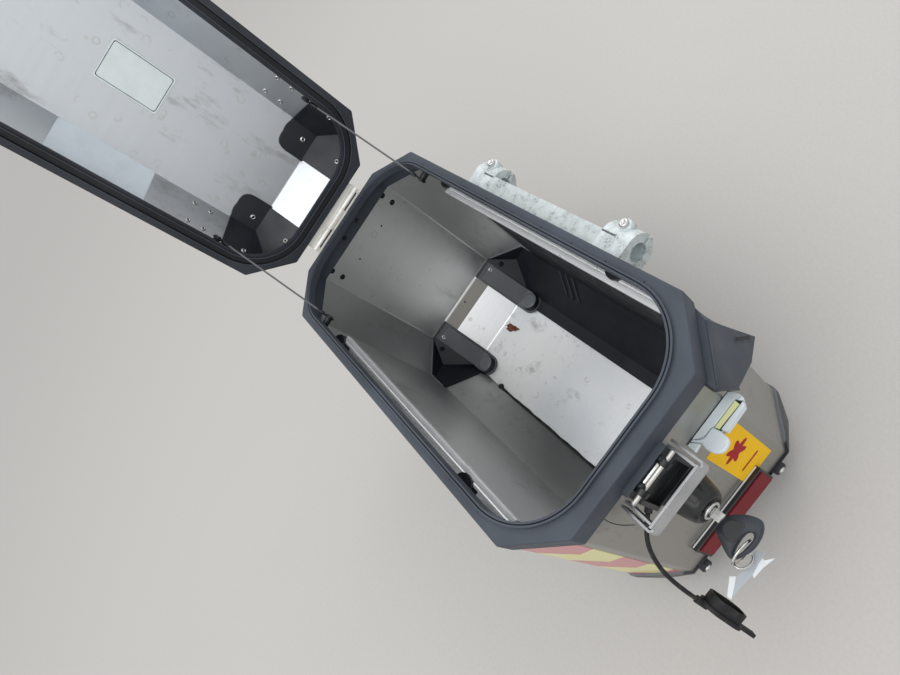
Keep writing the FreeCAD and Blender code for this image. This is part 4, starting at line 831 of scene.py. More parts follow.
class SIDECASE_OT_finishes(bpy.types.Operator):
    """Make the finishes, and give every CAD node its own."""
    bl_idname = "sidecase.finishes"
    bl_label = "Finishes"

    def execute(self, context):
        colours = context.scene.case_colours
        slate, base, bright = (tuple(colour) for colour in
                               (colours.slate, colours.sheet, colours.floor))
        # The lid's sheet is the walls' colour tinted blue: painted reflection of the sky.
        sky_tinted_lid = tinted(base, (0.88, 0.92, 0.985))
        # The darkening of the end slopes: below the slopes' top and near the middle line.
        slope_darkening = in_case((0, 0, SLOPE_TOP))[2], SLOPE_DARK_SIDE, SLOPE_DARK_TONE
        chosen = (
            (SLATE_NODES, moulded, "slate_moulding", tinted(slate, 0.7), slate),
            # The case and lid shells carry painted shade on their outsides.
            (["case_shell"], satin_sheet, "satin_walls", base, tinted(base, 1.15), 0.34,
             (6.0, 6.0, 900.0), 0.4, (in_case(CASE_HEART), CASE_OUTSIDE_SHADE), 0.85, slope_darkening),
            (["lid_shell"], satin_sheet, "satin_lid", sky_tinted_lid, tinted(sky_tinted_lid, 1.1), 0.38,
             (900.0, 6.0, 6.0), 0.5, (in_lid(LID_HEART), LID_OUTSIDE_SHADE)),
            # The floor plate's brighter, bluer colour is painted sky light.
            (["floor_plate"], satin_sheet, "bright_floor", bright, tinted(bright, 1.2), 0.36,
             (700.0, 5.0, 5.0), 0.55),
        )
        for nodes, kind, name, *settings in (*chosen, *FINISHES):
            kind(name, *settings)
            paint(nodes, name)
        return {"FINISHED"}


# Cords

TETHER_ANCHOR = np.array([REAR_X, -25.5, -57.5])
TETHER_ROUTE = TETHER_ANCHOR + np.array([
    (7.5, -4.3, -0.5),
    (14.5, -16.5, -0.5),
    (23.0, -28.5, -13.5),
    (38.0, -36.0, -30.5),
    (53.5, -36.0, -48.0),
])
TETHER_RADIUS = 1.75


class SIDECASE_OT_tether(bpy.types.Operator):
    """Add the cap's tether as a smooth line through the route."""
    bl_idname = "sidecase.tether"
    bl_label = "Cap tether"

    def execute(self, context):
        curve = bpy.data.curves.new("tether_line", "CURVE")
        curve.dimensions = "3D"
        curve.bevel_depth = TETHER_RADIUS * MM
        curve.bevel_resolution = 4
        curve.use_fill_caps = True
        line = curve.splines.new("NURBS")
        line.points.add(len(TETHER_ROUTE) - 1)
        for point, place in zip(line.points, in_case(TETHER_ROUTE)):
            point.co = (*place, 1.0)
        line.use_endpoint_u = True
        line.order_u = 3
        line.resolution_u = 24
        piece = bpy.data.objects.new("tether_line", curve)
        context.scene.collection.objects.link(piece)
        piece.data.materials.append(bpy.data.materials["soft_rubber"])
        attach(piece, "case")
        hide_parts("cap_tether")
        return {"FINISHED"}


# Fasteners: each is a profile turned round its own axis and repeated on its seats


def rivet_shape(radius):
    """A blind rivet's head: a low dome with a flat ring round its hollow."""
    return lathe([(radius, 0.0), (radius, 0.25), (0.86 * radius, 0.75), (0.62 * radius, 1.0),
                  (0.45 * radius, 0.95), (0.38 * radius, 0.3), (0.0, 0.3)], 20)


def hollow_shade_shape(radius):
    """Painted shade in a rivet's hollow: a dark disc just above the bottom of the pit."""
    return lathe([(0.36 * radius, 0.3), (0.36 * radius, 0.4), (0.0, 0.42)], 16)


def screw_shape(radius):
    """A button head: a low dome round a socket."""
    return lathe([(radius, 0.0), (radius, 0.5), (0.9 * radius, 1.3), (0.62 * radius, 2.0),
                  (0.5 * radius, 2.1), (0.44 * radius, 1.0), (0.0, 1.0)], 24)


def socket_shade_shape(radius):
    """Painted shade on the floor of a screw's six-sided socket: a dark disc."""
    return lathe([(0.42 * radius, 1.0), (0.42 * radius, 1.1), (0.0, 1.15)], 6)


LID_RIVETS = ((-117.0, 95.5, 36.4), (-117.3, 76.8, 55.1), (-136.1, 95.6, 36.3),
              (-137.3, 76.9, 55.0))
LID_TAB_SCREWS = ((-183.6, 56.8, 60.0),)
LID_SIDE_SCREWS = ((-188.6, 95.6, 34.2),)
LID_END_SCREWS = ((-224.6, 58.2, 31.2),)
FRONT_INSIDE = SHEET - REAR_X
WALL_RIVETS = ((FRONT_INSIDE, 55.5, -26.8), (FRONT_INSIDE, 55.8, -44.0))
WALL_DIMPLES = ((FRONT_INSIDE, 24.3, -50.2), (FRONT_INSIDE, -25.1, -50.8))
SLOPE_DIMPLES = ((-229.4, 0.4, -235.9),)
BAND_SCREWS = ((FRONT_INSIDE + 1.7, 13.0, -15.0),)
CORNER_SCREW_BRIGHT = ((-225.8, 59.2, -238.0),)
CORNER_SCREW_BLACK = ((-220.4, 74.6, -243.4),)
CORNER_SIDE_SCREWS = ((-199.6, 103.2, -251.0),)
CORNER_BOSSES = ((239.6, 54.0, -246.0), (239.6, -61.0, -250.5))


class SIDECASE_OT_fasteners(bpy.types.Operator):
    """Add the rivets and screws of the lid, the walls and the corner mouldings, the bosses under
    the end screws, and dark discs as painted shade in the rivets' hollows, the screws' sockets and
    the dimples of the front wall and its slope."""
    bl_idname = "sidecase.fasteners"
    bl_label = "Fasteners"

    def execute(self, context):
        rivet = context.scene.case_sizes.rivet
        screw = context.scene.case_sizes.screw
        # pit is a dark disc: painted shade in a dimple.
        pit = lathe([(1.3, 0.0), (1.3, 0.1), (0.0, 0.15)], 14)
        boss = lathe([(0.0, -15.0), (6.4, -15.0), (6.4, -1.0), (5.4, 0.0), (0.0, 0.0)], 28)

        lid_side = (0, -SLOPE, -SLOPE)
        end_slope = (SLOPE, 0, SLOPE)
        lid_rivets = mirrored(LID_RIVETS, lid_side, SIDES)
        lid_screws = [*mirrored(LID_TAB_SCREWS, (0, 0, -1), CORNERS),
                      *mirrored(LID_SIDE_SCREWS, lid_side, CORNERS),
                      *mirrored(LID_END_SCREWS, (SLOPE, 0, -SLOPE), CORNERS)]
        bosses = mirrored(CORNER_BOSSES, X_AXIS, ENDS)
        bright = [*mirrored(CORNER_SCREW_BRIGHT, end_slope, CORNERS), *bosses]
        black = [*mirrored(CORNER_SCREW_BLACK, end_slope, CORNERS),
                 *mirrored(CORNER_SIDE_SCREWS, (SLOPE, -SLOPE, 0), CORNERS)]

        for name, shape, seats, finish, body in (
            ("lid_rivets", rivet_shape(rivet), lid_rivets, "rivet_bright", "lid"),
            ("lid_rivet_hollow_shade", hollow_shade_shape(rivet), lid_rivets, "fastener_dark", "lid"),
            ("lid_screws", screw_shape(screw), lid_screws, "screw_bright", "lid"),
            ("lid_screw_socket_shade", socket_shade_shape(screw), lid_screws, "fastener_dark", "lid"),
            ("wall_rivets", rivet_shape(1.2 * rivet), mirrored(WALL_RIVETS, X_AXIS, SIDES),
             "screw_black", "case"),
            ("wall_dimple_shade", pit, [(WALL_DIMPLES, X_AXIS)], "fastener_dark", "case"),
            ("slope_dimple_shade", pit, [(SLOPE_DIMPLES, end_slope)], "fastener_dark", "case"),
            ("band_screws", screw_shape(0.7 * screw), mirrored(BAND_SCREWS, X_AXIS, SIDES),
             "screw_black", "case"),
            ("corner_bosses", boss, bosses, "corner_moulding", "case"),
            ("corner_screws_bright", screw_shape(screw), bright, "screw_bright", "case"),
            ("corner_screws_black", screw_shape(screw), black, "screw_black", "case"),
            ("corner_socket_shade", socket_shade_shape(screw), bright + black, "fastener_dark", "case"),
        ):
            add_piece(name, fitted(shape, *seats), finish, body)
        return {"FINISHED"}


# Lanyards: a sleeved wire with a crimp and an eye at each end

LANYARD_SIDE = 93.5
CASE_STUD = np.array((-162.0, 0.0, -11.0))
LID_STUD = np.array((-150.0, 0.0, 16.0))
STUD_RADIUS = 4.0
CRIMP_START = STUD_RADIUS + 4.0
WIRE_RADIUS = 1.1
WIRE_STEPS = 190
WIRE_SIDES = 18
STRANDS = 6
STRAND_PITCH = 11.0


class SIDECASE_OT_lanyards(bpy.types.Operator):
    """Add the two lanyards, from the case's studs to the open lid's studs."""
    bl_idname = "sidecase.lanyards"
    bl_label = "Lanyards"

    def execute(self, context):
        for name, side in (("inner", LANYARD_SIDE), ("outer", -LANYARD_SIDE)):
            start = CASE_STUD + (0, side, 0)
            end = in_lid(LID_STUD + (0, side, 0)) / MM - CASE_MIDDLE
            way = unit(end - start)
            near = start + way * CRIMP_START
            far = end - way * CRIMP_START
            parts = [self.wire(near, far, way), self.crimp(near, way), self.crimp(far, -way),
                     self.eye(start, way), self.eye(end, -way)]
            lanyard = add_piece("lanyard_wire_" + name, joined(*parts),
                                ("wire_sleeve", "screw_black"), node="lanyard_" + name)
            slots = np.repeat([0, 1, 1, 1, 1], [len(shape[1]) for shape in parts])
            lanyard.data.polygons.foreach_set("material_index", slots.astype(np.int32))
            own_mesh(lanyard)
        return {"FINISHED"}

    def wire(self, near, far, way):
        """Six strands laid round one another: the radius swells at each strand, and turns with
        the length."""
        along = np.linspace(0.0, np.linalg.norm(far - near), WIRE_STEPS)[:, None]
        turn = even_angles(WIRE_SIDES)
        across = unit(np.cross(way, Y_AXIS))
        over = np.cross(way, across)
        swell = np.cos(STRANDS * (turn - 2 * np.pi * along / STRAND_PITCH))
        radius = WIRE_RADIUS * (0.93 + 0.07 * swell)
        ring = across * np.cos(turn)[:, None] + over * np.sin(turn)[:, None]
        points = near + way * along[..., None] + radius[..., None] * ring
        size = radius.shape
        return points.reshape(-1, 3), grid_faces(*size) + end_faces(*size)

    def crimp(self, spot, way):
        profile = [(0.0, 0.0), (1.7, 0.0), (1.9, 0.4), (1.9, 8.0), (1.6, 8.6), (0.0, 8.6)]
        return copies(lathe(profile, 18), [spot], way)

    def eye(self, stud, way):
        """A loop of wire round the stud, drawn out to the crimp."""
        cosine, sine = np.cos(even_angles(40))[:, None], np.sin(even_angles(40))[:, None]
        radius = STUD_RADIUS + 0.9 + 2.4 * np.maximum(cosine, 0.0) ** 6
        path = stud + radius * (way * cosine + np.cross(way, Y_AXIS) * sine)
        return tube(path, 0.8, 10, closed=True)


# Rear wall: what is too fine for the solids

LATCH_Y = -3.5
RING_WIRE = 0.95
LENS_SIZE = (88.0, 31.0)
LENS_RISE = 17.5
DARK_LINE_PATH = ((-44.7, -10.3), (-48.9, -29.2), (-48.7, -49.6), (-44.9, -69.8))
DRUM = ((0.0, 0.0), (20.6, 0.0), (20.6, 1.6), (19.4, 7.0), (18.6, 8.0), (17.4, 14.5),
        (16.0, 20.5), (15.2, 23.2), (14.2, 24.9), (12.6, 25.9), (11.2, 25.9), (10.2, 25.2),
        (9.6, 23.6), (0.0, 23.6))
COVER_TOP = -21.5
COVER_PROUD = 7.0
COVER_FLARE = 14.0 / 78.5


class SIDECASE_OT_rear_details(bpy.types.Operator):
    """Add the latch's rod, pin heads and pad, the lock's drum and rims, with a dark ring and a dark
    slot as painted shade in the barrel's groove and keyway, the key ring, the reflector's edge and
    lens, the wall's dark curved line, and the cover's rim, with a dark line and a dark groove as
    painted shade."""
    bl_idname = "sidecase.rear_details"
    bl_label = "Rear details"

    def execute(self, context):
        pin_x = PIVOT[0] - 2.5
        rod_z = PIVOT[2] + 1.0
        rod = [(pin_x, LATCH_Y + y, rod_z) for y in (-7.0, -6.4, 11.4, 12.0)]
        add_piece("latch_rod", tube(rod, [2.0, 2.3, 2.3, 2.0], 20), "bright_steel")
        head = lathe([(0.0, -2.4), (2.4, -2.4), (3.3, -1.6), (3.6, 0.0), (3.3, 1.6), (2.4, 2.4),
                      (0.0, 2.4)], 24)
        heads = [(pin_x, LATCH_Y + y, rod_z) for y in (13.6, -9.6)]
        add_piece("latch_heads", copies(head, heads, Y_AXIS), "black_moulding")

        low, high = node_box("lock_barrel")
        face_x = high[0]
        lock = ((low + high) / 2)[1:]
        for name, x, radius, steps, wire, sides, finish in (
            ("barrel_ring", face_x, 6.9, 48, 0.9, 12, "bright_steel"),
            # A dark ring as painted shade in the groove round the barrel.
            ("barrel_groove_shade", face_x, 5.3, 48, 0.45, 10, "fastener_dark"),
            ("drum_bead", face_x - 3.0, 12.0, 64, 1.5, 12, "black_moulding"),
        ):
            add_piece(name, tube(hoop(x, lock, radius, steps), wire, sides, closed=True), finish)
        # A dark board as painted shade in the keyway.
        slot = rounded_rectangle(10.0, 3.4, 1.2)
        add_piece("barrel_slot_shade", board(slot, 0.3, (face_x, *lock), Y_AXIS, Z_AXIS, 0.1),
                  "fastener_dark", smooth=False)
        add_piece("lock_drum", copies(lathe(DRUM, 64), [(REAR_X, *lock)], X_AXIS), "drum_black",
                  node="lock_housing")

        low, high = node_box("key_ring")
        hub = (low + high) / 2
        coil = hoop(hub[0], hub[1:], (high[1] - low[1]) / 2 - RING_WIRE, 90)
        coil[:, 0] += 0.45 * np.sin(even_angles(90))
        add_piece("key_ring_wire", tube(coil, RING_WIRE, 14, closed=True), "bright_steel",
                  node="key_ring")

        pad = box_shape((REAR_X + 0.4, LATCH_Y - 22.0, PIVOT[2] + 3.9),
                        (REAR_X + 7.4, LATCH_Y + 23.0, PIVOT[2] + 5.2))
        add_piece("latch_pad", pad, "slate_moulding", smooth=False)

        low, high = node_box("reflector_holder")
        middle = (high[0] - 0.1, (low[1] + high[1]) / 2, low[2] + LENS_RISE)
        lens = board(rounded_rectangle(*LENS_SIZE, 1.2), 1.3, middle, Y_AXIS, Z_AXIS, 0.5)
        add_piece("reflector_prisms", lens, "red_prisms", smooth=False, node="reflector_lens")
        edge = box_shape((REAR_X + 0.6, low[1] + 1.0, high[2] - 0.1),
                         (REAR_X + 1.8, high[1] - 1.0, high[2] + 0.5), 0.15)
        add_piece("reflector_edge", edge, "edge_white", smooth=False)

        # A thin dark curved line on the rear wall.
        dark_line = smooth_line(DARK_LINE_PATH, 8)
        dark_line = np.column_stack([np.full(len(dark_line), REAR_X), dark_line])
        add_piece("rear_dark_line", tube(dark_line, 0.35, 8), "fastener_dark")

        self.cover()
        return {"FINISHED"}

    def cover(self):
        """On the cover's sloping face: the raised rim along its upper and near edges, a dark line
        as painted shade beside the upper rim, and the groove, a dark board as painted shade, with
        its lip."""
        outward = np.array((SLOPE, SLOPE, 0.0))
        across = np.array((-SLOPE, SLOPE, 0.0))
        corner = np.array((REAR_X, SIDE_Y - FACET_CUT, COVER_TOP)) + outward * COVER_PROUD
        down = outward * COVER_FLARE - Z_AXIS

        def spot(along, drop, proud=0.0):
            return corner + across * along + down * drop + outward * proud

        rim = tube([spot(-6.2, 1.3, 0.6), spot(45.8, 1.3, 0.6)], 1.2)
        side = tube([spot(-6.2, 1.3, 0.4), spot(2.6, 32.0, 0.4)], 1.1)
        add_piece("cover_rim", joined(rim, side), "slate_moulding")
        # A dark line as painted shade beside the cover's upper rim.
        add_piece("cover_shade_line", tube([spot(-5.6, 3.7), spot(45.8, 3.7)], 0.8, 10),
                  "fastener_dark")
        start = spot(44.6, 41.5)
        end = spot(54.4, 66.0)
        along = unit(end - start)
        side_way = np.cross(unit(np.cross(down, across)), along)
        length = np.linalg.norm(end - start)
        for name, extra, width, radius, thick, soften, finish in (
            ("cover_groove_lip", 3.0, 5.6, 2.6, 0.5, 0.4, "slate_moulding"),
            # A dark board as painted shade in the cover's groove.
            ("cover_groove", 1.0, 3.2, 1.5, 0.62, 0.05, "fastener_dark"),
        ):
            outline = rounded_rectangle(length + extra, width, radius)
            groove = board(outline, thick, (start + end) / 2, along, side_way, soften)
            add_piece(name, groove, finish, smooth=False)


# Outlines in x and y, with the heights of their lower and upper faces

LEVER_TOP = -58.0
LEVER_FOOT = -75.0
LEVER_SIDE = -65.5
LEVER_BAR = ((238.2, 31.8), (243.0, 36.4), (244.2, 40.5), (244.4, 47.4), (245.4, 48.6),
             (245.4, 73.0), (246.8, 78.0), (241.8, 77.8), (238.2, 75.5))
LEVER_STRIP = ((246.0, 48.8), (249.3, 49.4), (250.0, 72.0), (245.9, 72.6))
LEVER_LIP = ((250.5, 50.0), (254.4, 50.8), (253.6, 72.4), (250.6, 75.2))
LEVER_END = ((245.8, 73.4), (250.0, 75.7), (247.1, 78.0))
LEVER_TAB = ((245.1, 46.9), (248.1, 48.4), (254.6, 48.4), (259.6, 46.9), (261.6, 42.5),
             (261.2, 37.6), (257.5, 33.8), (253.0, 32.5), (250.3, 32.5), (247.4, 33.4),
             (244.9, 33.9), (239.4, 30.6), (238.3, 31.2), (243.6, 35.9), (245.0, 40.5))
LEVER_HEEL = ((237.9, 26.4), (245.6, 26.2), (245.1, 31.4), (244.7, 32.9), (237.9, 29.3))
LEVER_ROOT = ((237.9, 37.0), (242.6, 37.0), (245.8, 47.6), (245.8, 75.0), (237.9, 75.0))
LEVER_SHELF = ((237.9, 45.0), (250.4, 49.6), (250.4, 74.6), (237.9, 75.0))
LEVER_GAP = ((237.9, 27.0), (238.5, 27.0), (238.5, 77.0), (237.9, 77.0))
LEVER_UNDER = ((245.2, 48.4), (250.6, 48.9), (250.8, 74.8), (245.5, 73.4))

KEY_TOP = -94.0
KEY_LOW = -100.0
KEY_MIDDLE = np.array((296.9, -7.4))
KEY_EDGE = ((276.4, -12.3), (275.6, -6.0), (276.8, 0.4), (280.2, 5.4), (287.6, 11.0),
            (295.5, 13.6), (299.9, 11.0), (302.8, 4.6), (303.7, -4.4), (302.4, -11.0),
            (299.6, -18.0), (295.4, -21.4), (288.3, -18.9), (280.6, -15.0))
KEY_SLOT = ((293.4, -3.0), (294.6, 1.2), (297.6, 2.6), (299.9, 0.2), (300.1, -5.0),
            (299.4, -12.0), (297.9, -17.0), (295.8, -17.8), (294.4, -14.0), (293.6, -8.0))
KEY_DISH = ((278.3, -7.3), (280.4, 1.4), (289.6, 4.4), (292.0, -1.3), (291.3, -11.0),
            (285.6, -12.6))

TAG_TOP = -112.0
TAG_SHEET = ((300.3, -8.0), (307.0, -3.3), (307.6, -13.5), (309.2, -23.5), (308.2, -36.0),
             (308.0, -44.0), (304.6, -37.5), (301.6, -30.4), (304.0, -19.0))
TAG_FOLD = ((298.0, -33.8), (301.4, -30.6), (304.8, -37.4), (308.3, -45.9), (304.9, -46.2))
TAG_EDGE = ((313.6, -2.8), (309.0, -9.0), (309.5, -22.0), (311.0, -23.6), (311.5, -13.0))
TAG_INNER = ((307.0, -8.5), (309.6, -8.5), (310.0, -22.5), (308.4, -22.5))
LINK_MIDDLE = np.array((300.6, -17.6, -106.0))


class SIDECASE_OT_lever_and_key(bpy.types.Operator):
    """Add the release lever's casting with its blank strip and dark boards as painted shade in its
    gaps, the key's head and its folded tag, whose lower sheet is a darker copy as painted shade.
    """
    bl_idname = "sidecase.lever_and_key"
    bl_label = "Lever and key"

    def execute(self, context):
        casting = ((LEVER_BAR, LEVER_SIDE, 0.0, 0.6), (LEVER_LIP, LEVER_SIDE, -0.8, 0.9),
                   (smooth_loop(LEVER_TAB, 4), LEVER_TOP - 3.4, 0.4, 0.9),
                   (LEVER_HEEL, LEVER_TOP - 4.0, -0.4, 0.5), (LEVER_END, LEVER_SIDE, -2.6, 0.4),
                   (LEVER_ROOT, LEVER_FOOT, -3.0, 0.4), (LEVER_SHELF, LEVER_SIDE, -3.4, 0.4))
        strip = ((LEVER_STRIP, LEVER_TOP - 3.6, -1.0, 0.2),)
        # Dark boards as painted shade in the gap at the wall and under the strip.
        gaps = ((LEVER_GAP, LEVER_SIDE, 0.2, 0.1), (LEVER_UNDER, LEVER_TOP - 3.6, -2.2, 0.1))
        # The tag's lower sheet is a darker copy of its film: painted shade under the folds.
        sheet = ((TAG_SHEET, TAG_TOP - 0.3, 0.0, 0.1),)
        folds = ((TAG_FOLD, TAG_TOP - 0.2, 0.5, 0.1), (TAG_EDGE, TAG_TOP - 0.6, 0.1, 0.1),
                 (TAG_INNER, TAG_TOP - 0.5, -0.2, 0.05))
        dish = smooth_loop(KEY_DISH, 8)
        inner = dish.mean(axis=0) + 0.86 * (dish - dish.mean(axis=0))
        for name, top, parts, finish, smooth, node in (
            ("lever_casting", LEVER_TOP, casting, "zinc_casting", False, "release_lever"),
            ("lever_strip", LEVER_TOP, strip, "label_cream", False, None),
            ("lever_gap_shade", LEVER_TOP, gaps, "fastener_dark", False, None),
            ("key_dish_rim", KEY_TOP, ((dish, KEY_TOP - 0.5, 0.5, 0.45),), "key_moulding", True,
             None),
            ("key_dish", KEY_TOP, ((inner, KEY_TOP - 0.5, 0.56, 0.1),), "black_moulding", False,
             None),
            ("tag_sheet", TAG_TOP, sheet, "tag_shade", False, None),
            ("tag_folds", TAG_TOP, folds, "clear_tag", False, "key_tag"),
        ):
            shapes = [slab(outline, low, top + rise, soften)
                      for outline, low, rise, soften in parts]
            add_piece(name, joined(*shapes), finish, smooth=smooth, node=node)

        outer, hole = (around(smooth_loop(loop, 12), KEY_MIDDLE, 180)
                       for loop in (KEY_EDGE, KEY_SLOT))
        add_piece("key_grip", holed_plate(outer, hole, KEY_LOW, KEY_TOP, 1.1), "key_moulding",
                  node="key_head")
        cosine, sine = np.cos(even_angles(60)), np.sin(even_angles(60))
        link = LINK_MIDDLE + np.stack([4.6 * cosine, 6.6 * sine, -3.85 * sine], axis=-1)
        add_piece("tag_link", tube(link, 0.75, closed=True), "bright_steel")
        return {"FINISHED"}


# Lid and mount

TAB_PLATE = ((-197.0, 33.4), (-174.0, 33.4), (-167.6, 34.2), (-162.4, 36.8), (-159.4, 41.0),
             (-158.4, 47.0), (-158.8, 54.0), (-160.3, 71.0), (-197.0, 71.0))
SLOPE_PLATE = ((-160.3, 0.0), (-160.3, 56.5), (-199.0, 56.5), (-194.0, 0.0))
PLATE_THICK = 1.6

# y + z on the inside of the lid's sloping sides
LID_SUM = LID_KNEE + SIDE_Y - SHEET / SLOPE


class SIDECASE_OT_lid_details(bpy.types.Operator):
    """Add the plates of the lid's corner mouldings and the two beads of its frame."""
    bl_idname = "sidecase.lid_details"
    bl_label = "Lid details"

    def execute(self, context):
        top = LID_PANEL - 0.1
        bend = LID_SUM - LID_PANEL - 0.1
        plates = []
        for end, side, _ in CORNERS:
            for outline, spot, across, soften in (
                (TAB_PLATE, (0, 0, top), (0, -1, 0), 0.5),
                (SLOPE_PLATE, (0, side * bend, top), (0, -SLOPE, side * SLOPE), 0.4),
            ):
                flat = anticlockwise(np.multiply(outline, (end, -side)))
                plates.append(board(flat, PLATE_THICK, spot, X_AXIS, across, soften))
        add_piece("lid_corner_plates", joined(*plates), "corner_moulding", "lid", smooth=False)
        beads = [tube(mouth_path(inset, height), radius, 10, closed=True)
                 for inset, height, radius in ((14.5, 2.9, 0.55), (6.9, 0.8, 0.4))]
        add_piece("lid_frame_beads", joined(*beads), "slate_moulding", "lid")
        return {"FINISHED"}


HINGE_FRONT = -HALF_LONG - 2.0
HINGE_RIVETS = (-36.0, -12.0, 12.0, 36.0)
HINGE_WEBS = (27.5, -26.0)
PIT_SIDE = 106.9
PITS = (-160.0, -120.0, -78.0, -37.4, 4.0, 45.0, 84.4, 124.6, 165.0)


class SIDECASE_OT_mount_details(bpy.types.Operator):
    """Add the clamps' bolts and collars, the hinge's rivets and webs, dark boards as painted shade
    in the hinge's gaps, and dark discs as painted shade in the flange's small pits."""
    bl_idname = "sidecase.mount_details"
    bl_label = "Mount details"

    def execute(self, context):
        seats = []
        for name in ("rack_clamp_front", "rack_clamp_rear"):
            low, high = node_box(name)
            seats.append(((low + high)[0] / 2, 13.0 - CASE_MIDDLE[1], -CASE_MIDDLE[2]))
        boss = lathe([(0.0, 5.0), (6.2, 5.0), (6.2, 15.2), (5.6, 16.0), (0.0, 16.0)], 28)
        bolt = lathe([(4.3, 16.0), (4.3, 19.0), (3.6, 20.0), (2.0, 20.2), (1.7, 19.2),
                      (0.0, 19.2)], 24)
        nut = lathe([(0.0, -19.5), (4.6, -19.5), (4.6, -15.0), (0.0, -15.0)], 6)
        add_piece("clamp_bosses", copies(boss, seats, Z_AXIS), "mottled_clamp")
        bolts = [copies(shape, seats, Z_AXIS) for shape in (bolt, nut)]
        add_piece("clamp_bolts", joined(*bolts), "screw_bright")

        for body, height in (("case", -11.0), ("lid", 11.0)):
            spots = [(HINGE_FRONT, side, height) for side in HINGE_RIVETS]
            rivets = copies(rivet_shape(2.2), spots, (-1, 0, 0))
            add_piece("hinge_rivets_" + body, rivets, "screw_bright", body)
        for name, near, far, half, low, high, soften, finish in (
            ("hinge_webs", -247.0, -240.2, 13.0, -1.4, -0.2, 0.25, "zinc_plate"),
            # Dark boards as painted shade in the gaps between the hinge's knuckle and the collar.
            ("hinge_gap_shade", -246.8, -243.9, 12.8, -0.4, 0.0, 0.1, "fastener_dark"),
        ):
            boxes = [box_shape((near, side - half, low), (far, side + half, high), soften)
                     for side in HINGE_WEBS]
            add_piece(name, joined(*boxes), finish, smooth=False)

        # A dark disc as painted shade in each small pit of the flange.
        pit = lathe([(0.8, 0.0), (0.8, 0.06), (0.0, 0.08)], 12)
        spots = [(x, side, 0.0) for side in (PIT_SIDE, -PIT_SIDE) for x in PITS]
        add_piece("flange_pit_shade", copies(pit, spots, Z_AXIS), "fastener_dark")
        return {"FINISHED"}


# Labels, film and marks

LID_LABEL = (-2.0, 7.5, LID_PANEL - 1.0)
LID_LABEL_SIZE = np.array((68.0, 45.0))
SLOPE_LABEL_SIDE = 86.0
SLOPE_LABEL_SIZE = (104.0, 44.0)
FILM_WIDTH = 49.0
FILM_TOP = -21.0
FILM_BOTTOM = -229.0
FILM_BACK = 35.5
FILM_POINT = 0.5
STICKER_SIZE = (36.0, 100.0)
STICKER_MIDDLE = np.array((REAR_X, 44.0, -149.0))
PETAL_REACH = 10.5


class SIDECASE_OT_labels(bpy.types.Operator):
    """Add the blank labels of the lid."""
    bl_idname = "sidecase.labels"
    bl_label = "Labels"

    def execute(self, context):
        for name, inset, thick, finish in (("lid_label", 0.0, 0.3, "label_white"),
                                           ("lid_label_line", 1.6, 0.45, "label_ink"),
                                           ("lid_label_field", 2.3, 0.6, "label_white")):
            outline = rounded_rectangle(*(LID_LABEL_SIZE - 2 * inset), 2.5)
            label = board(outline, thick, LID_LABEL, X_AXIS, (0, -1, 0))
            add_piece(name, label, finish, "lid", smooth=False)
        spot = (-14.0, -SLOPE_LABEL_SIDE, LID_SUM - SLOPE_LABEL_SIDE)
        outline = rounded_rectangle(*SLOPE_LABEL_SIZE, 3.0)
        label = board(outline, 0.3, spot, (-1, 0, 0), UP_SLOPE)
        add_piece("lid_slope_label", label, "label_silver", "lid", smooth=False)
        return {"FINISHED"}


class SIDECASE_OT_films(bpy.types.Operator):
    """Add the hazard film on the rear-outer facet and the yellow sticker with its rosette."""
    bl_idname = "sidecase.films"
    bl_label = "Films"

    def execute(self, context):
        colours = context.scene.case_colours
        hazard_film("hazard_bands", "C4444C", "E4DE78", context.scene.case_sizes.stripe_pitch)
        along = np.array((SLOPE, SLOPE, 0.0))
        middle = np.array((REAR_X, FACET_CUT - SIDE_Y, 0.0)) - along * FILM_BACK
        middle[2] = (FILM_TOP + FILM_BOTTOM) / 2
        outline = rounded_rectangle(FILM_WIDTH, FILM_TOP - FILM_BOTTOM, 1.0)
        points, faces = board(outline, 0.3, middle, along, Z_AXIS)
        film = add_piece("hazard_film", (points, faces), "hazard_bands", smooth=False)
        flat = np.stack([(points - middle) @ along - FILM_POINT, points[:, 2]], axis=-1)
        layer = film.data.uv_layers.new(name="film")
        corners = np.empty(len(film.data.loops), dtype=np.int32)
        film.data.loops.foreach_get("vertex_index", corners)
        layer.data.foreach_set("uv", flat[corners].astype(np.float32).ravel())

        printed("sticker_yellow", tuple(colours.film_yellow), 0.5, 0.06, 0.15)
        printed("sticker_red", tuple(colours.film_red), 0.5, 0.0, 0.15)
        outline = rounded_rectangle(*STICKER_SIZE, 0.8)
        sheet = board(outline, 0.3, STICKER_MIDDLE, Y_AXIS, Z_AXIS)
        add_piece("rear_sticker", sheet, "sticker_yellow", smooth=False)
        turn = even_angles(120)
        reach = PETAL_REACH * (1 + 0.3 * np.cos(6 * turn))
        petals = np.stack([reach * np.cos(turn), reach * np.sin(turn)], axis=-1)
        stem = rounded_rectangle(22.0, 3.0, 1.4)
        emblem = [board(outline, 0.45, STICKER_MIDDLE + (0, 0, height), Y_AXIS, Z_AXIS, 0.1)
                  for outline, height in ((petals, 12.0), (stem, -24.0))]
        add_piece("rear_rosette", joined(*emblem), "sticker_red", smooth=False)
        return {"FINISHED"}


SLOT_SPOTS = ((-115.3, 109.8, -238.1), (-103.3, 109.8, -238.1), (-91.3, 109.8, -238.1))
SLOT_FLOOR = ((0.2, -0.2), (5.8, -0.2), (22.9, -29.3), (17.3, -29.3))
SLOT_LIP = ((-2.2, 0.0), (-0.3, 0.0), (17.0, -29.5), (15.1, -29.5))
SLOT_DEEP = 2.5
BLOB_RADIUS = 5.4
BLOB_HEIGHT = 3.2


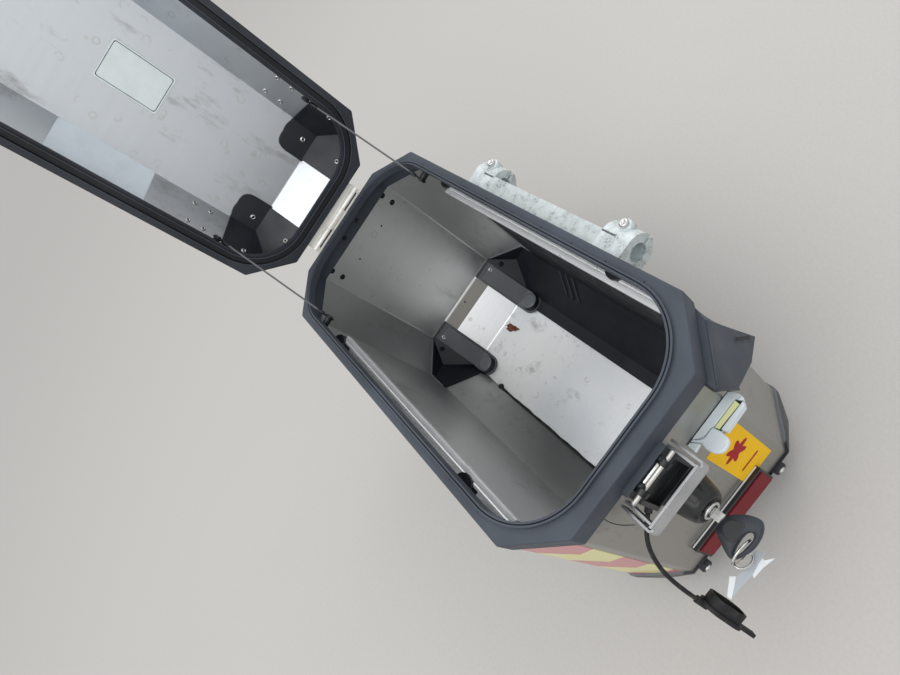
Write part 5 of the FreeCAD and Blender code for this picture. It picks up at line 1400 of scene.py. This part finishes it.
class SIDECASE_OT_marks(bpy.types.Operator):
    """Add the sealant bead and the rust mark on the floor plate, and the panel's three slots, with
    dark boards as painted shade on their floors.
    """
    bl_idname = "sidecase.marks"
    bl_label = "Marks"

    def execute(self, context):
        step = np.linspace(0, 1, 90)
        wander = 0.5 * np.sin(37 * step) + 0.3 * np.sin(91 * step)
        path = np.stack([-122 + 275 * step, -66.2 + 0.8 * np.sin(3 * step) + 0.4 * wander,
                         FLOOR_TOP + 0.9 + 0.2 * wander], axis=-1)
        bead = tube(path, 1.8 + 0.35 * np.sin(53 * step) * np.sin(17 * step))
        turn = np.linspace(0, np.pi / 2, 7)[:-1]
        dome = np.column_stack([BLOB_RADIUS * np.cos(turn), BLOB_HEIGHT * np.sin(turn)])
        blob = lathe([*dome, (0.0, BLOB_HEIGHT)], 20)
        blob = copies(blob, [(-121.0, -66.4, FLOOR_TOP)], Z_AXIS)
        add_piece("sealant_bead", joined(bead, blob), "sealant")

        turn = even_angles(80)
        ragged = (1 + 0.16 * np.sin(3 * turn + 1) + 0.1 * np.sin(7 * turn)
                  + 0.06 * np.sin(17 * turn + 2))
        outline = np.stack([11.5 * ragged * np.cos(turn), 5.2 * ragged * np.sin(turn)], axis=-1)
        patch = board(outline, 0.2, (-167.5, 8.7, FLOOR_TOP), (0.97, 0.24, 0), (-0.24, 0.97, 0),
                      0.1)
        add_piece("rust_mark", patch, "rust_mark")

        rise = np.array((0, -SLOPE, SLOPE)) * (SLOT_DEEP - 0.1)
        for name, outline, thick, lift, soften, finish in (
            # Dark boards as painted shade on the slots' floors.
            ("slot_floor_shade", SLOT_FLOOR, 0.3, 0.0, 0.15, "fastener_dark"),
            ("slot_lips", SLOT_LIP, 0.6, 1.0, 0.3, "slate_moulding"),
        ):
            boards = [board(anticlockwise(outline), thick, lift * rise + spot, X_AXIS, UP_SLOPE,
                            soften) for spot in SLOT_SPOTS]
            add_piece(name, joined(*boards), finish, smooth=False)
        return {"FINISHED"}


class SIDECASE_PT_panel(bpy.types.Panel):
    """Lists the case's operators and what they read."""
    bl_idname = "SIDECASE_PT_panel"
    bl_label = "Side Case"
    bl_space_type = "VIEW_3D"
    bl_region_type = "UI"
    bl_category = "Side Case"

    def draw(self, context):
        for group in (context.scene.case_colours, context.scene.case_sizes):
            for name in group.__annotations__:
                self.layout.prop(group, name)
        for operator in OPERATORS:
            self.layout.operator(operator.bl_idname)


OPERATORS = (
    SIDECASE_OT_stage,
    SIDECASE_OT_finishes,
    SIDECASE_OT_tether,
    SIDECASE_OT_fasteners,
    SIDECASE_OT_lanyards,
    SIDECASE_OT_rear_details,
    SIDECASE_OT_lever_and_key,
    SIDECASE_OT_lid_details,
    SIDECASE_OT_mount_details,
    SIDECASE_OT_labels,
    SIDECASE_OT_films,
    SIDECASE_OT_marks,
)
CLASSES = (CaseColours, CaseSizes, *OPERATORS, SIDECASE_PT_panel)


def register():
    for item in CLASSES:
        bpy.utils.register_class(item)
    bpy.types.Scene.case_colours = bpy.props.PointerProperty(type=CaseColours)
    bpy.types.Scene.case_sizes = bpy.props.PointerProperty(type=CaseSizes)


def unregister():
    del bpy.types.Scene.case_sizes
    del bpy.types.Scene.case_colours
    for item in reversed(CLASSES):
        bpy.utils.unregister_class(item)


def main():
    register()
    for operator in OPERATORS:
        group, name = operator.bl_idname.split(".")
        getattr(getattr(bpy.ops, group), name)()


if __name__ == "__main__":
    main()
